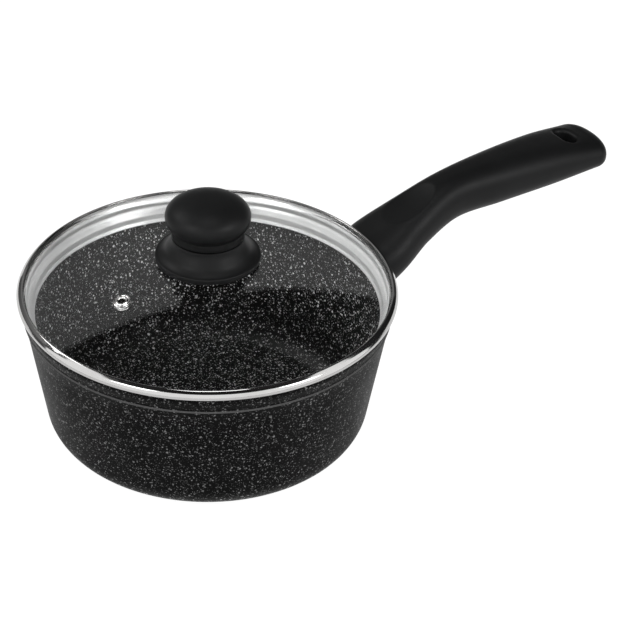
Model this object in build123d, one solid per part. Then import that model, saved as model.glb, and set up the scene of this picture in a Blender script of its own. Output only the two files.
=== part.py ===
"""Saucepan with a lift-off glass lid, 18 cm nominal size.

Millimetres, +Z up.  The origin is the centre of the base on the pan's axis, and the
handle runs out along +X.  Every function builds one separate piece of the real pan.
"""
import os
from math import acos, asin, atan, cos, degrees, pi, radians, sin, sqrt, tan

from build123d import *

# ---------------------------------------------------------------- pan, cast aluminium
WALL_R_BASE = 80.3          # outer wall cone, radius where it would meet the table
WALL_TAPER = 0.174          # radius gained per millimetre of height
BASE_CORNER_R = 17.5        # outer radius between the base and the wall
FLARE_Z = 60.0              # the rim band starts to flare out here
SHOULDER_Z = 70.0           # faint edge round the rim band
SHOULDER_R = 92.9
RIM_R = 94.9                # outside of the rim
RIM_Z = 78.0                # top of the rim, which carries the lid
RIM_ROUND = 0.9
SHOULDER_LEAN = 0.32         # radius gained per millimetre of height at the shoulder
RIM_LEAN = 0.1
WALL_T = 2.7
FLOOR_Z = 4.5               # top of the pan's floor
FLOOR_CORNER_R = 12.0

# ---------------------------------------------------------------- induction plate
PLATE_R = 58.0
PLATE_T = 1.0
PEG_R = 2.2                 # aluminium pegs that fill the plate's holes
PEG_RINGS = ((18.0, 8), (33.0, 16), (48.0, 24))

# ---------------------------------------------------------------- glass lid
GLASS_T = 3.2
GLASS_CROWN_Z = 100.3       # top of the dome on the axis, over the centre hole
GLASS_DOME_R = 246.8        # radius of the dome's upper face
GLASS_EDGE_R = 93.5
GLASS_HOLE_R = 4.0

# ---------------------------------------------------------------- steel rim of the lid
RING_R = 95.9
RING_SEAT_Z = 78.0          # underside of the ring, which rests on the pan's rim
RING_BULGE_Z = 79.9         # the ring's crown curves in from here up
RING_CROWN = (94.82, 81.65)  # point half way round the crown
RING_TOP = (93.1, 82.75)
RING_LIP_R = 92.5           # inner edge of the lip that is rolled over the glass
RING_T = 0.5
RING_ROUND = 1.0
SEAL_R = 94.4
SKIRT_TOP_R = 91.9
SKIRT_KNEE = (89.2, 71.4)   # outer face where the skirt bends to its lower hem
SKIRT_FOOT = (87.7, 67.2)

# ---------------------------------------------------------------- steam vent
VENT_DIST = 54.0            # from the axis, measured level
VENT_ANGLE = -174.0         # degrees from +X, nearly opposite the handle
VENT_TUBE_R = 2.6
VENT_BORE_R = 1.8
VENT_FLANGE_R = 4.4
VENT_HOLE_R = 3.4           # hole drilled in the glass, lined by the gasket
VENT_TAIL = 1.5             # tube below the glass
VENT_CROWN = (2.4, 1.05)    # top of the rolled crown round the bore: radius, height
VENT_SEAT = 0.35            # flange's underside above the glass
VENT_FLANGE_T = 0.35
VENT_WASHER_GAP = 0.15
VENT_WASHER_T = 0.75

# ---------------------------------------------------------------- knob
KNOB_BALL_R = 21.5
KNOB_BALL_Z = 123.0         # height of the widest part
KNOB_BALL_UP = 10.4         # from there to the top
KNOB_BALL_DOWN = 12.5       # lower half of the flattened ball, if it went on to a point
KNOB_NECK_R = 18.2
KNOB_SEAM_Z = 112.0         # joint between cap and base
KNOB_SEAM_GAP = 0.7
KNOB_BASE_R = 26.5
KNOB_BASE_RIM_H = 2.8
KNOB_INSERT_R = 4.0
KNOB_SCREW_R = 2.5
KNOB_SCREW_TOP_Z = 121.0
KNOB_SCREW_HEAD = (4.8, 2.8, 1.3)  # radius, height and depth of the driver recess
KNOB_WAIST = (21.2, 105.2)  # point on the foot's hollow curve
KNOB_WAIST_LEAN = 0.42
KNOB_EDGE = 0.5             # small chamfers and rounds
KNOB_LIP = 2.2              # width of the seat at the seam
KNOB_WALL = 3.0
COLLAR_R = 2.8              # collar of the foot round the screw
COLLAR_BASE_R = 8.0
PAD_T = 1.6                 # silicone pad on top of the glass
INNER_PAD_R = 9.0
INNER_PAD_T = 1.2
KNOB_WASHER_R = 8.5
KNOB_WASHER_T = 1.0

# ---------------------------------------------------------------- handle
# Stations along the handle: distance from the axis, height of the centre line, half
# width and half height of the section that is cut square to the centre line.
HANDLE_STATIONS = (
    (76.0, 52.6, 18.6, 16.6),
    (92.0, 60.4, 19.6, 15.4),
    (108.0, 69.2, 20.6, 12.8),
    (126.0, 78.35, 16.5, 11.7),
    (150.0, 86.4, 13.1, 12.1),
    (180.0, 88.15, 15.4, 12.7),
    (215.0, 88.75, 17.8, 11.9),
    (241.5, 88.3, 18.7, 9.2),
)
HANDLE_SECTIONS = 15        # sections that the grip is lofted through, before its end
HANDLE_END_X = 252.0
HANDLE_END_Z = 87.9
HANDLE_END_POWER = 2.3      # how square the rounded end is
SECTION_POWER = 2.3         # 2 is an ellipse, higher is squarer
SECTION_POINTS = 24
END_SHARES = (0.35, 0.62, 0.82, 0.94, 0.985)  # sections of the rounded end
END_RISE = -0.05
HANDLE_WALL_GAP = 0.6       # air between the grip's root and the pan
HANG_X = 230.8
HANG_LENGTH_Y = 14.5
HANG_WIDTH_X = 9.5
THUMB_X = 125.0
THUMB_Z = 91.2              # a point over the dish's middle, level with the grip's top
THUMB_NORMAL = (-0.37, 0.93)  # X and Z of the way the dish faces
THUMB_DISH_R = 68.0
THUMB_DEPTH = 3.0

# ---------------------------------------------------------------- handle bracket
BRACKET_Z = 60.0            # height of the bracket's middle on the wall
BRACKET_HEIGHT = 24.0
BRACKET_WIDTH = 26.0
BRACKET_T = 1.6
TONGUE_ANGLE = 27.9         # degrees above level
TONGUE_LENGTH = 34.0
TONGUE_WIDTH = 14.0
TONGUE_HEIGHT = 8.0
TONGUE_CLEAR = 0.25
TONGUE_SINK = 2.0           # tongue that runs back into the saddle
STUD_R = 2.4
STUD_HEAD_R = 4.0
STUD_HEAD_T = 1.3
STUD_RISE = 8.0             # each stud above or below the bracket's middle
SCREW_R = 2.5
SCREW_HEAD_R = 4.6
SCREW_HEAD_T = 3.2
SCREW_SHELF = 6.2           # from the tongue's centre line to the shelf under the head
SCREW_ALONG = 24.0          # from the tongue's root to the screw
WASHER_T = 1.2
WASHER_SPLIT = 0.7
SOCKET_R = 2.2              # driver recess
SOCKET_SLOT = 0.9
NEAR = 0.02                 # air left between parts that touch in the real pan


def wall_r(z):
    """Outer radius of the pan's wall, without the flare of its rim."""
    return WALL_R_BASE + WALL_TAPER * z


def dome_z(r, drop=0.0):
    """Height of the glass dome's upper face at radius r, less a drop along Z."""
    return GLASS_CROWN_Z - drop - (GLASS_DOME_R - sqrt(GLASS_DOME_R**2 - r**2))


def turned(*edges):
    """Solid of revolution about Z from a closed outline of (radius, height) points."""
    return revolve(Plane.XZ * make_face(Wire(edges)), axis=Axis.Z)


def ring(r_out, r_in, z_low, z_high):
    """Plain tube about Z."""
    upwards = (Align.CENTER, Align.CENTER, Align.MIN)
    tube = Pos(0, 0, z_low) * Cylinder(r_out, z_high - z_low, align=upwards)
    if r_in > 0:
        tube -= Pos(0, 0, z_low - 1) * Cylinder(r_in, z_high - z_low + 2, align=upwards)
    return tube


def corner_arc(radius, z_flat, wall_at_flat):
    """Arc between a level face and the tapered wall: its start, middle and end."""
    turn = radians(90) - atan(WALL_TAPER)
    reach = radius * tan(turn / 2)
    centre = Vector(wall_at_flat - reach, z_flat + radius)
    points = []
    for angle in (0.0, turn / 2, turn):
        points.append(centre + Vector(radius * sin(angle), -radius * cos(angle)))
    return points


def pan_outline(grow=0.0):
    """Outer outline of the pan from the table to the rim, moved outwards by a distance."""
    low, mid, high = [p + Vector(grow, 0) for p in corner_arc(BASE_CORNER_R, 0.0, WALL_R_BASE)]
    flare = Vector(wall_r(FLARE_Z) + grow, FLARE_Z)
    shoulder = Vector(SHOULDER_R + grow, SHOULDER_Z)
    rim_out = Vector(RIM_R + grow, RIM_Z - RIM_ROUND)
    edges = [
        ThreePointArc(low, mid, high),
        Line(high, flare),
        Spline(flare, shoulder, tangents=(Vector(WALL_TAPER, 1), Vector(SHOULDER_LEAN, 1))),
        Spline(shoulder, rim_out, tangents=(Vector(SHOULDER_LEAN, 1), Vector(RIM_LEAN, 1))),
    ]
    return low, rim_out, edges


def pan_form(grow=0.0):
    """Solid that the outside of the pan fills, moved outwards by a distance."""
    low, rim_out, edges = pan_outline(grow)
    return turned(
        Line((0, 0), low),
        *edges,
        Line(rim_out, (0, rim_out.Y)),
        Line((0, rim_out.Y), (0, 0)),
    )


def pan_shell():
    """Cast pan body: floor, tapered wall and flared rim, with the plate's pocket."""
    low, rim_out, outside = pan_outline()
    in_a, in_m, in_b = corner_arc(FLOOR_CORNER_R, FLOOR_Z, wall_r(FLOOR_Z) - WALL_T)
    rim_top = Vector(RIM_R - RIM_ROUND, RIM_Z)
    rim_in = Vector(RIM_R - WALL_T + RIM_ROUND / 2, RIM_Z)
    rim_low = Vector(RIM_R - WALL_T - 0.2, RIM_Z - RIM_ROUND)
    inner_shoulder = Vector(SHOULDER_R - WALL_T, SHOULDER_Z)
    inner_flare = Vector(wall_r(FLARE_Z) - WALL_T, FLARE_Z)
    ways_down = (Vector(-SHOULDER_LEAN, -1), Vector(-WALL_TAPER, -1))
    body = turned(
        Line((0, 0), low),
        *outside,
        RadiusArc(rim_out, rim_top, -RIM_ROUND),
        Line(rim_top, rim_in),
        Line(rim_in, rim_low),
        Line(rim_low, inner_shoulder),
        Spline(inner_shoulder, inner_flare, tangents=ways_down),
        Line(inner_flare, in_b),
        ThreePointArc(in_b, in_m, in_a),
        Line(in_a, (0, FLOOR_Z)),
        Line((0, FLOOR_Z), (0, 0)),
    )
    body -= ring(PLATE_R, 0, -1, PLATE_T)
    return body + pegs()


def peg_places():
    """Centres of the pegs that hold the induction plate, as level locations."""
    places = []
    for radius, count in PEG_RINGS:
        for k in range(count):
            angle = 360 * k / count
            places.append(Pos(radius * cos(radians(angle)), radius * sin(radians(angle)), 0))
    return places


def pegs():
    """Aluminium that is pressed down through the plate's holes."""
    return [place * ring(PEG_R, 0, 0, PLATE_T) for place in peg_places()]


def induction_plate():
    """Perforated ferritic steel disc, flush in the base."""
    plate = ring(PLATE_R, 0, 0, PLATE_T)
    return plate - pegs()


# ---------------------------------------------------------------- lid
def lid_glass():
    """Domed tempered glass with a centre hole and a vent hole."""
    edge_low = dome_z(GLASS_EDGE_R, GLASS_T)
    edge_high = dome_z(GLASS_EDGE_R)
    mid = GLASS_EDGE_R / 2
    disc = turned(
        ThreePointArc((0, dome_z(0)), (mid, dome_z(mid)), (GLASS_EDGE_R, edge_high)),
        Line((GLASS_EDGE_R, edge_high), (GLASS_EDGE_R, edge_low)),
        ThreePointArc((GLASS_EDGE_R, edge_low), (mid, dome_z(mid, GLASS_T)), (0, dome_z(0, GLASS_T))),
        Line((0, dome_z(0, GLASS_T)), (0, dome_z(0))),
    )
    disc -= ring(GLASS_HOLE_R, 0, 80, 110)
    return disc - vent_frame() * ring(VENT_HOLE_R, 0, -10, 10)


def lid_rim():
    """Steel ring rolled over the glass edge, with a skirt that drops inside the pan."""
    knee_r, knee_z = SKIRT_KNEE
    foot_r, foot_z = SKIRT_FOOT
    inner_r = RING_R - RING_T
    inner_seat = RING_SEAT_Z + RING_T
    band_low = (RING_R, RING_SEAT_Z + RING_ROUND)
    band_high = (RING_R, RING_BULGE_Z)
    lip_edge = (RING_LIP_R, dome_z(RING_LIP_R) + RING_T)
    lip_under = (RING_LIP_R, dome_z(RING_LIP_R) + 0.05)
    inner_top = (RING_TOP[0] - 0.1, RING_TOP[1] - RING_T)
    inner_crown = (RING_CROWN[0] - 0.35, RING_CROWN[1] - 0.35)
    inner_high = (inner_r, RING_BULGE_Z - 0.15)
    seat_out = (RING_R - RING_ROUND, RING_SEAT_Z)
    seat_in = (SKIRT_TOP_R, RING_SEAT_Z)
    return turned(
        Line(seat_in, seat_out),
        RadiusArc(seat_out, band_low, -RING_ROUND),
        Line(band_low, band_high),
        ThreePointArc(band_high, RING_CROWN, RING_TOP),
        Line(RING_TOP, lip_edge),
        Line(lip_edge, lip_under),
        Line(lip_under, inner_top),
        ThreePointArc(inner_top, inner_crown, inner_high),
        Line(inner_high, (inner_r, inner_seat)),
        Line((inner_r, inner_seat), (SKIRT_TOP_R - RING_T, inner_seat)),
        Line((SKIRT_TOP_R - RING_T, inner_seat), (knee_r - RING_T, knee_z)),
        Line((knee_r - RING_T, knee_z), (foot_r - RING_T, foot_z)),
        Line((foot_r - RING_T, foot_z), (foot_r, foot_z)),
        Line((foot_r, foot_z), (knee_r, knee_z)),
        Line((knee_r, knee_z), seat_in),
    )


def glass_edge_seal():
    """Silicone bedding between the glass edge and the ring's lower flange."""
    r_out = SEAL_R
    r_in = SKIRT_TOP_R + 0.2
    z_low = RING_SEAT_Z + RING_T
    glass_r = GLASS_EDGE_R + 0.05
    under_out = dome_z(GLASS_EDGE_R, GLASS_T) - 0.02
    under_in = dome_z(r_in, GLASS_T) - 0.02
    top = dome_z(GLASS_EDGE_R) - 1.1
    return turned(
        Line((r_in, z_low), (r_out, z_low)),
        Line((r_out, z_low), (r_out, top)),
        Line((r_out, top), (glass_r, top)),
        Line((glass_r, top), (glass_r, under_out)),
        Line((glass_r, under_out), (r_in, under_in)),
        Line((r_in, under_in), (r_in, z_low)),
    )


def vent_frame():
    """Location on the glass's upper face at the vent, with +Z square to the dome."""
    lean = degrees(asin(VENT_DIST / GLASS_DOME_R))
    return Rot(0, 0, VENT_ANGLE) * Pos(VENT_DIST, 0, dome_z(VENT_DIST)) * Rot(0, lean, 0)


def vent_eyelet():
    """Steel eyelet with a stepped, rolled flange on top and a tube through the glass."""
    groove_r = (VENT_TUBE_R + VENT_FLANGE_R) / 2
    crown_r, crown_z = VENT_CROWN
    foot = -GLASS_T - VENT_TAIL
    top = VENT_SEAT + VENT_FLANGE_T
    groove = (groove_r, top + 0.15)
    mouth = (VENT_BORE_R, top + 0.15)
    body = turned(
        Line(mouth, (VENT_BORE_R, foot)),
        Line((VENT_BORE_R, foot), (VENT_TUBE_R, foot)),
        Line((VENT_TUBE_R, foot), (VENT_TUBE_R, VENT_SEAT)),
        Line((VENT_TUBE_R, VENT_SEAT), (VENT_FLANGE_R, VENT_SEAT)),
        Line((VENT_FLANGE_R, VENT_SEAT), (VENT_FLANGE_R, top)),
        Line((VENT_FLANGE_R, top), groove),
        ThreePointArc(groove, (crown_r + 0.45, crown_z - 0.01), (crown_r, crown_z)),
        ThreePointArc((crown_r, crown_z), (crown_r - 0.4, crown_z - 0.04), mouth),
    )
    return vent_frame() * body


def vent_gasket():
    """Thin silicone bush between the eyelet and the glass."""
    collar_low = 0.06
    collar = ring(VENT_FLANGE_R - 0.2, VENT_TUBE_R + NEAR, collar_low, VENT_SEAT - NEAR)
    sleeve = ring(VENT_HOLE_R - 0.03, VENT_TUBE_R + NEAR, -GLASS_T - 0.05, collar_low)
    return vent_frame() * (collar + sleeve)


def vent_washer():
    """Steel washer under the glass, over which the eyelet's tube is flared."""
    top = -GLASS_T - VENT_WASHER_GAP
    return vent_frame() * ring(VENT_FLANGE_R, VENT_TUBE_R + 0.03, top - VENT_WASHER_T, top)


# ---------------------------------------------------------------- knob
def knob_cap():
    """Flattened ball with a straight neck, and a blind pocket for its insert."""
    neck_z = KNOB_BALL_Z - KNOB_BALL_DOWN * sqrt(1 - (KNOB_NECK_R / KNOB_BALL_R) ** 2)
    low = KNOB_SEAM_Z + KNOB_SEAM_GAP / 2
    widest = Vector(KNOB_BALL_R, KNOB_BALL_Z)
    top = Vector(0, KNOB_BALL_Z + KNOB_BALL_UP)
    diagonal = sqrt(0.5)
    upper = Spline(
        widest,
        Vector(KNOB_BALL_R * cos(radians(30)), KNOB_BALL_Z + KNOB_BALL_UP * 0.5),
        Vector(KNOB_BALL_R * diagonal, KNOB_BALL_Z + KNOB_BALL_UP * diagonal),
        Vector(KNOB_BALL_R * 0.5, KNOB_BALL_Z + KNOB_BALL_UP * cos(radians(30))),
        top,
        tangents=(Vector(0, 1), Vector(-1, 0)),
    )
    under_mid = radians(16)
    neck_angle = acos(KNOB_NECK_R / KNOB_BALL_R)
    lower = Spline(
        Vector(KNOB_NECK_R, neck_z),
        Vector(KNOB_BALL_R * cos(under_mid), KNOB_BALL_Z - KNOB_BALL_DOWN * sin(under_mid)),
        widest,
        tangents=(
            Vector(KNOB_BALL_R * sin(neck_angle), KNOB_BALL_DOWN * cos(neck_angle)),
            Vector(0, 1),
        ),
    )
    body = turned(
        Line((0, low), (KNOB_NECK_R - KNOB_EDGE, low)),
        Line((KNOB_NECK_R - KNOB_EDGE, low), (KNOB_NECK_R, low + KNOB_EDGE)),
        Line((KNOB_NECK_R, low + KNOB_EDGE), (KNOB_NECK_R, neck_z)),
        lower,
        upper,
        Line(top, (0, low)),
    )
    body -= ring(KNOB_INSERT_R, 0, low - 1, KNOB_SCREW_TOP_Z)
    return body


def knob_base():
    """Flared foot of the knob, hollow underneath, with a collar round the screw."""
    seam = KNOB_SEAM_Z - KNOB_SEAM_GAP / 2
    foot = dome_z(KNOB_BASE_R) + 0.05
    rim_top = foot + KNOB_BASE_RIM_H
    rim_round = 0.7
    heel = (KNOB_BASE_R - KNOB_WALL, dome_z(KNOB_BASE_R - KNOB_WALL) + 0.05)
    seat = (KNOB_NECK_R - KNOB_EDGE, seam)
    step_r = KNOB_NECK_R - KNOB_LIP
    step_z = KNOB_SEAM_Z + 0.3
    collar_z = dome_z(0) + PAD_T
    ceiling_z = seam - 3.0
    ceiling_r = KNOB_NECK_R - 3.5
    upper = Spline(
        Vector(KNOB_BASE_R - rim_round, rim_top),
        Vector(*KNOB_WAIST),
        Vector(KNOB_NECK_R, seam - KNOB_EDGE),
        tangents=(Vector(-1, KNOB_WAIST_LEAN), Vector(-0.1, 1)),
    )
    body = turned(
        Line(heel, (KNOB_BASE_R - KNOB_EDGE, foot)),
        Line((KNOB_BASE_R - KNOB_EDGE, foot), (KNOB_BASE_R, foot + KNOB_EDGE)),
        Line((KNOB_BASE_R, foot + KNOB_EDGE), (KNOB_BASE_R, rim_top - rim_round)),
        RadiusArc((KNOB_BASE_R, rim_top - rim_round), (KNOB_BASE_R - rim_round, rim_top), -rim_round),
        upper,
        Line((KNOB_NECK_R, seam - KNOB_EDGE), seat),
        Line(seat, (step_r, seam)),
        Line((step_r, seam), (step_r, step_z)),
        Line((step_r, step_z), (COLLAR_R, step_z)),
        Line((COLLAR_R, step_z), (COLLAR_R, collar_z)),
        Line((COLLAR_R, collar_z), (COLLAR_BASE_R, collar_z)),
        Line((COLLAR_BASE_R, collar_z), (COLLAR_BASE_R + 1.5, ceiling_z)),
        Line((COLLAR_BASE_R + 1.5, ceiling_z), (ceiling_r, ceiling_z)),
        Line((ceiling_r, ceiling_z), heel),
    )
    return body


def knob_insert():
    """Threaded steel insert moulded into the cap."""
    low = KNOB_SEAM_Z + KNOB_SEAM_GAP / 2
    body = ring(KNOB_INSERT_R - NEAR, KNOB_SCREW_R + 0.03, low, KNOB_SCREW_TOP_Z - 0.05)
    groove = ring(KNOB_INSERT_R + 1, KNOB_INSERT_R - 0.5, low + 3.4, low + 4.8)
    return body - groove


def screw_head(radius, height, socket_depth):
    """Pan head about Z, its seat at Z = 0 and its crown towards -Z, with a cross recess."""
    head = ring(radius, 0, -height, 0)
    head = fillet(head.edges().group_by(Axis.Z)[0], height * 0.45)
    slot = Pos(0, 0, -height) * Box(2 * SOCKET_R, SOCKET_SLOT, 2 * socket_depth)
    return head - slot - Rot(0, 0, 90) * slot


def knob_screw_seat():
    """Height of the seat under the head of the knob's screw."""
    return dome_z(0, GLASS_T) - INNER_PAD_T - KNOB_WASHER_T


def knob_screw():
    """Screw that draws the knob down on the glass, its head inside the lid."""
    seat = knob_screw_seat()
    shank = ring(KNOB_SCREW_R, 0, seat, KNOB_SCREW_TOP_Z - 2.0)
    return Pos(0, 0, seat) * screw_head(*KNOB_SCREW_HEAD) + shank


def knob_washer():
    """Steel washer under the screw's head."""
    seat = knob_screw_seat()
    return ring(KNOB_WASHER_R, KNOB_SCREW_R + 0.1, seat, seat + KNOB_WASHER_T)


def knob_inner_gasket():
    """Silicone pad between the washer and the inside of the glass."""
    low = dome_z(0, GLASS_T) - INNER_PAD_T
    pad = ring(INNER_PAD_R, KNOB_SCREW_R + 0.1, low, dome_z(INNER_PAD_R, GLASS_T) - NEAR)
    bush = ring(GLASS_HOLE_R - 0.05, KNOB_SCREW_R + 0.1, low, dome_z(0, GLASS_T) + 2.0)
    return pad + bush


def knob_outer_gasket():
    """Silicone pad between the knob's collar and the outside of the glass."""
    return ring(COLLAR_BASE_R, KNOB_SCREW_R + 0.1, dome_z(0) + 0.05, dome_z(0) + PAD_T)


# ---------------------------------------------------------------- handle
def station_value(x, column):
    """Smooth value of one column of the stations at a distance x (Hermite cubic spans)."""
    rows = HANDLE_STATIONS
    last = len(rows) - 2
    k = max(i for i in range(last + 1) if rows[i][0] <= x or i == 0)

    def slope(i):
        before, after = rows[max(i - 1, 0)], rows[min(i + 1, last + 1)]
        return (after[column] - before[column]) / (after[0] - before[0])

    span = rows[k + 1][0] - rows[k][0]
    t = (x - rows[k][0]) / span
    start, end = rows[k][column], rows[k + 1][column]
    return (
        (2 * t**3 - 3 * t**2 + 1) * start
        + (t**3 - 2 * t**2 + t) * span * slope(k)
        + (3 * t**2 - 2 * t**3) * end
        + (t**3 - t**2) * span * slope(k + 1)
    )


def handle_section(x, z, half_w, half_h, rise):
    """Rounded section square to the centre line: a superellipse drawn as a closed spline."""
    plane = Plane(origin=(x, 0, z), x_dir=(0, 1, 0), z_dir=(1, 0, rise))
    points = []
    for k in range(SECTION_POINTS):
        angle = 2 * pi * k / SECTION_POINTS
        c, s = cos(angle), sin(angle)
        y = half_w * (1 if c >= 0 else -1) * abs(c) ** (2 / SECTION_POWER)
        h = half_h * (1 if s >= 0 else -1) * abs(s) ** (2 / SECTION_POWER)
        points.append(plane.from_local_coords((y, h)))
    return make_face(Wire([Spline(*points, periodic=True)]))


def handle_body():
    """Solid form of the grip before anything is cut from it."""
    first, last = HANDLE_STATIONS[0], HANDLE_STATIONS[-1]
    sections = []
    for k in range(HANDLE_SECTIONS):
        x = first[0] + (last[0] - first[0]) * k / (HANDLE_SECTIONS - 1)
        z, half_w, half_h = (station_value(x, column) for column in (1, 2, 3))
        rise = (station_value(x + 1, 1) - station_value(x - 1, 1)) / 2
        sections.append(handle_section(x, z, half_w, half_h, rise))
    reach = HANDLE_END_X - last[0]
    for share in END_SHARES:
        shrink = (1 - share**HANDLE_END_POWER) ** (1 / HANDLE_END_POWER)
        z = last[1] + (HANDLE_END_Z - last[1]) * share
        x = last[0] + reach * share
        sections.append(handle_section(x, z, last[2] * shrink, last[3] * shrink, END_RISE))
    return loft(sections)


def tongue_frame():
    """Location at the tongue's root, with +X along it and +Z across it, upwards."""
    x, z, _, _ = HANDLE_STATIONS[1]
    return Pos(x, 0, z) * Rot(0, -TONGUE_ANGLE, 0)


def tongue(grow=0.0):
    """Straight tongue of the bracket, optionally larger all round."""
    length = TONGUE_LENGTH + TONGUE_SINK + grow
    width = TONGUE_WIDTH + 2 * grow
    height = TONGUE_HEIGHT + 2 * grow
    bar = Box(length, width, height, align=(Align.MIN, Align.CENTER, Align.CENTER))
    return tongue_frame() * Pos(-TONGUE_SINK, 0, 0) * bar


def saddle(grow=0.0):
    """Curved plate of the bracket that sits on the wall, optionally larger all round."""
    width = BRACKET_WIDTH + 2 * grow
    block = Pos(90, 0, BRACKET_Z) * Box(60, width, BRACKET_HEIGHT + 2 * grow)
    return block & pan_form(BRACKET_T + grow)


def stud_frames():
    """Locations of the two studs on the wall, +X pointing straight out of it."""
    lean = Vector(1, 0, 0).get_angle(Vector(1, 0, -WALL_TAPER))
    frames = []
    for rise in (-STUD_RISE, STUD_RISE):
        z = BRACKET_Z + rise
        frames.append(Pos(wall_r(z), 0, z) * Rot(0, lean, 0))
    return frames


def bracket_studs():
    """Two studs welded to the wall, whose riveted heads hold the bracket."""
    studs = []
    for frame in stud_frames():
        shank = Rot(0, 90, 0) * ring(STUD_R, 0, -1.0, BRACKET_T + STUD_HEAD_T)
        head = Rot(0, 90, 0) * ring(STUD_HEAD_R, 0, BRACKET_T + 0.4, BRACKET_T + STUD_HEAD_T)
        studs.append(frame * (shank + head) - pan_form(0.01))
    return studs


def handle_bracket():
    """Steel bracket: saddle plate and a tongue with a tapped hole."""
    body = saddle() + tongue()
    body -= pan_form(NEAR)
    for frame in stud_frames():
        body -= frame * Rot(0, 90, 0) * ring(STUD_R + NEAR, 0, -2, 12)
        body -= frame * Rot(0, 90, 0) * ring(STUD_HEAD_R + 0.3, 0, BRACKET_T + 0.35, 8)
    return body - screw_axis() * ring(SCREW_R + 0.03, 0, -20, 20)


def screw_axis():
    """Location on the tongue's centre line at the screw, +Z across the tongue, upwards."""
    return tongue_frame() * Pos(SCREW_ALONG, 0, 0)


def handle_screw():
    """Screw that holds the grip to the bracket, driven from below."""
    seat = -SCREW_SHELF - WASHER_T
    body = Pos(0, 0, seat) * screw_head(SCREW_HEAD_R, SCREW_HEAD_T, 1.6)
    body += ring(SCREW_R, 0, seat, TONGUE_HEIGHT / 2 + 1.0)
    return screw_axis() * body


def handle_washer():
    """Spring washer under that screw's head, split on one side."""
    washer = ring(SCREW_HEAD_R - 0.2, SCREW_R + 0.15, -SCREW_SHELF - WASHER_T, -SCREW_SHELF)
    return screw_axis() * (washer - Pos(3.5, 0, -SCREW_SHELF) * Box(5, WASHER_SPLIT, 6))


def handle_grip():
    """Moulded grip, hollow round the bracket, with a thumb rest and a hanging hole."""
    body = handle_body()
    body -= pan_form(HANDLE_WALL_GAP)
    body -= ring(RIM_R + HANDLE_WALL_GAP, 0, RIM_Z - 2, RIM_Z + 30)
    body -= ring(RING_R + HANDLE_WALL_GAP, 0, RING_SEAT_Z - HANDLE_WALL_GAP, RIM_Z + 30)
    body -= saddle(0.3)
    for frame in stud_frames():
        well = ring(STUD_HEAD_R + 0.6, 0, -1, BRACKET_T + STUD_HEAD_T + 0.7)
        body -= frame * Rot(0, 90, 0) * well
    body -= tongue(TONGUE_CLEAR)
    body -= screw_axis() * ring(SCREW_R + 0.3, 0, -SCREW_SHELF - 2, TONGUE_HEIGHT / 2 + 2.0)
    body -= screw_axis() * ring(SCREW_HEAD_R + 0.3, 0, -SCREW_SHELF - 20, -SCREW_SHELF)
    slot = SlotOverall(HANG_LENGTH_Y, HANG_WIDTH_X, rotation=90)
    body -= Pos(HANG_X, 0, 80) * extrude(slot, 60, both=True)
    normal = Vector(THUMB_NORMAL[0], 0, THUMB_NORMAL[1]).normalized()
    centre = Vector(THUMB_X, 0, THUMB_Z) + normal * (THUMB_DISH_R - THUMB_DEPTH)
    body -= Pos(*centre) * Sphere(THUMB_DISH_R)
    return body


PIECES = {
    "pan_shell": pan_shell,
    "induction_plate": induction_plate,
    "handle_bracket": handle_bracket,
    "bracket_studs": bracket_studs,
    "handle_grip": handle_grip,
    "handle_screw": handle_screw,
    "handle_washer": handle_washer,
    "lid_glass": lid_glass,
    "lid_rim": lid_rim,
    "glass_edge_seal": glass_edge_seal,
    "vent_eyelet": vent_eyelet,
    "vent_gasket": vent_gasket,
    "vent_washer": vent_washer,
    "knob_cap": knob_cap,
    "knob_base": knob_base,
    "knob_insert": knob_insert,
    "knob_screw": knob_screw,
    "knob_washer": knob_washer,
    "knob_inner_gasket": knob_inner_gasket,
    "knob_outer_gasket": knob_outer_gasket,
}


def main():
    """Write one STEP file for each piece."""
    os.makedirs("parts", exist_ok=True)
    for name, build in PIECES.items():
        shape = build()
        if isinstance(shape, list):
            shape = Compound(children=shape)
        export_step(shape, f"parts/{name}.step")


main()
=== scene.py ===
"""Looks of a saucepan with a lift-off glass lid: surfaces, finishes, floor, light and camera.

Metres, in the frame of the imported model: the middle of the base is the origin, +Z is up and
the handle runs out along +X.  Every new shape is a surface worked out on a grid of two
parameters, or an outline carried round an axis.
"""
import logging
import math
from dataclasses import dataclass
from enum import Enum

import bpy
import numpy as np
from mathutils import Matrix, Vector


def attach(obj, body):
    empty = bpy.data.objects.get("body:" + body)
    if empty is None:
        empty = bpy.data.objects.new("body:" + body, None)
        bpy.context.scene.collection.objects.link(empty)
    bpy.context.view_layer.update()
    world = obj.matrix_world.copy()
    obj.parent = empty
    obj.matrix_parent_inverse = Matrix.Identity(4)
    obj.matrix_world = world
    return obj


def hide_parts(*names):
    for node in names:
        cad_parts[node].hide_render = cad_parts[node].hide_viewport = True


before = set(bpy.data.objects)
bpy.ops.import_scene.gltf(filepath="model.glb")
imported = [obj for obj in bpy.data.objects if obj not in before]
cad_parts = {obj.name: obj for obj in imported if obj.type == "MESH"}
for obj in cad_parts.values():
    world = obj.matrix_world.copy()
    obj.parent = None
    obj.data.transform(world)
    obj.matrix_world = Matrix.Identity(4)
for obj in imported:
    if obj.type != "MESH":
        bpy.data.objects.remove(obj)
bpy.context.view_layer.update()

LOG = logging.getLogger("saucepan")
MM = 0.001


class Body(Enum):
    """The two bodies of the part: the pan stands still and the lid lifts off."""

    PAN = "pan"
    LID = "lid"


class Slot(Enum):
    """Names of the record's material slots, passed along with each new piece."""

    COATING = "pan_coating"
    GLASS = "lid_glass"
    RIM = "rim_steel"
    EYELET = "eyelet_steel"
    KNOB = "knob_plastic"
    GRIP = "grip_plastic"


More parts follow.
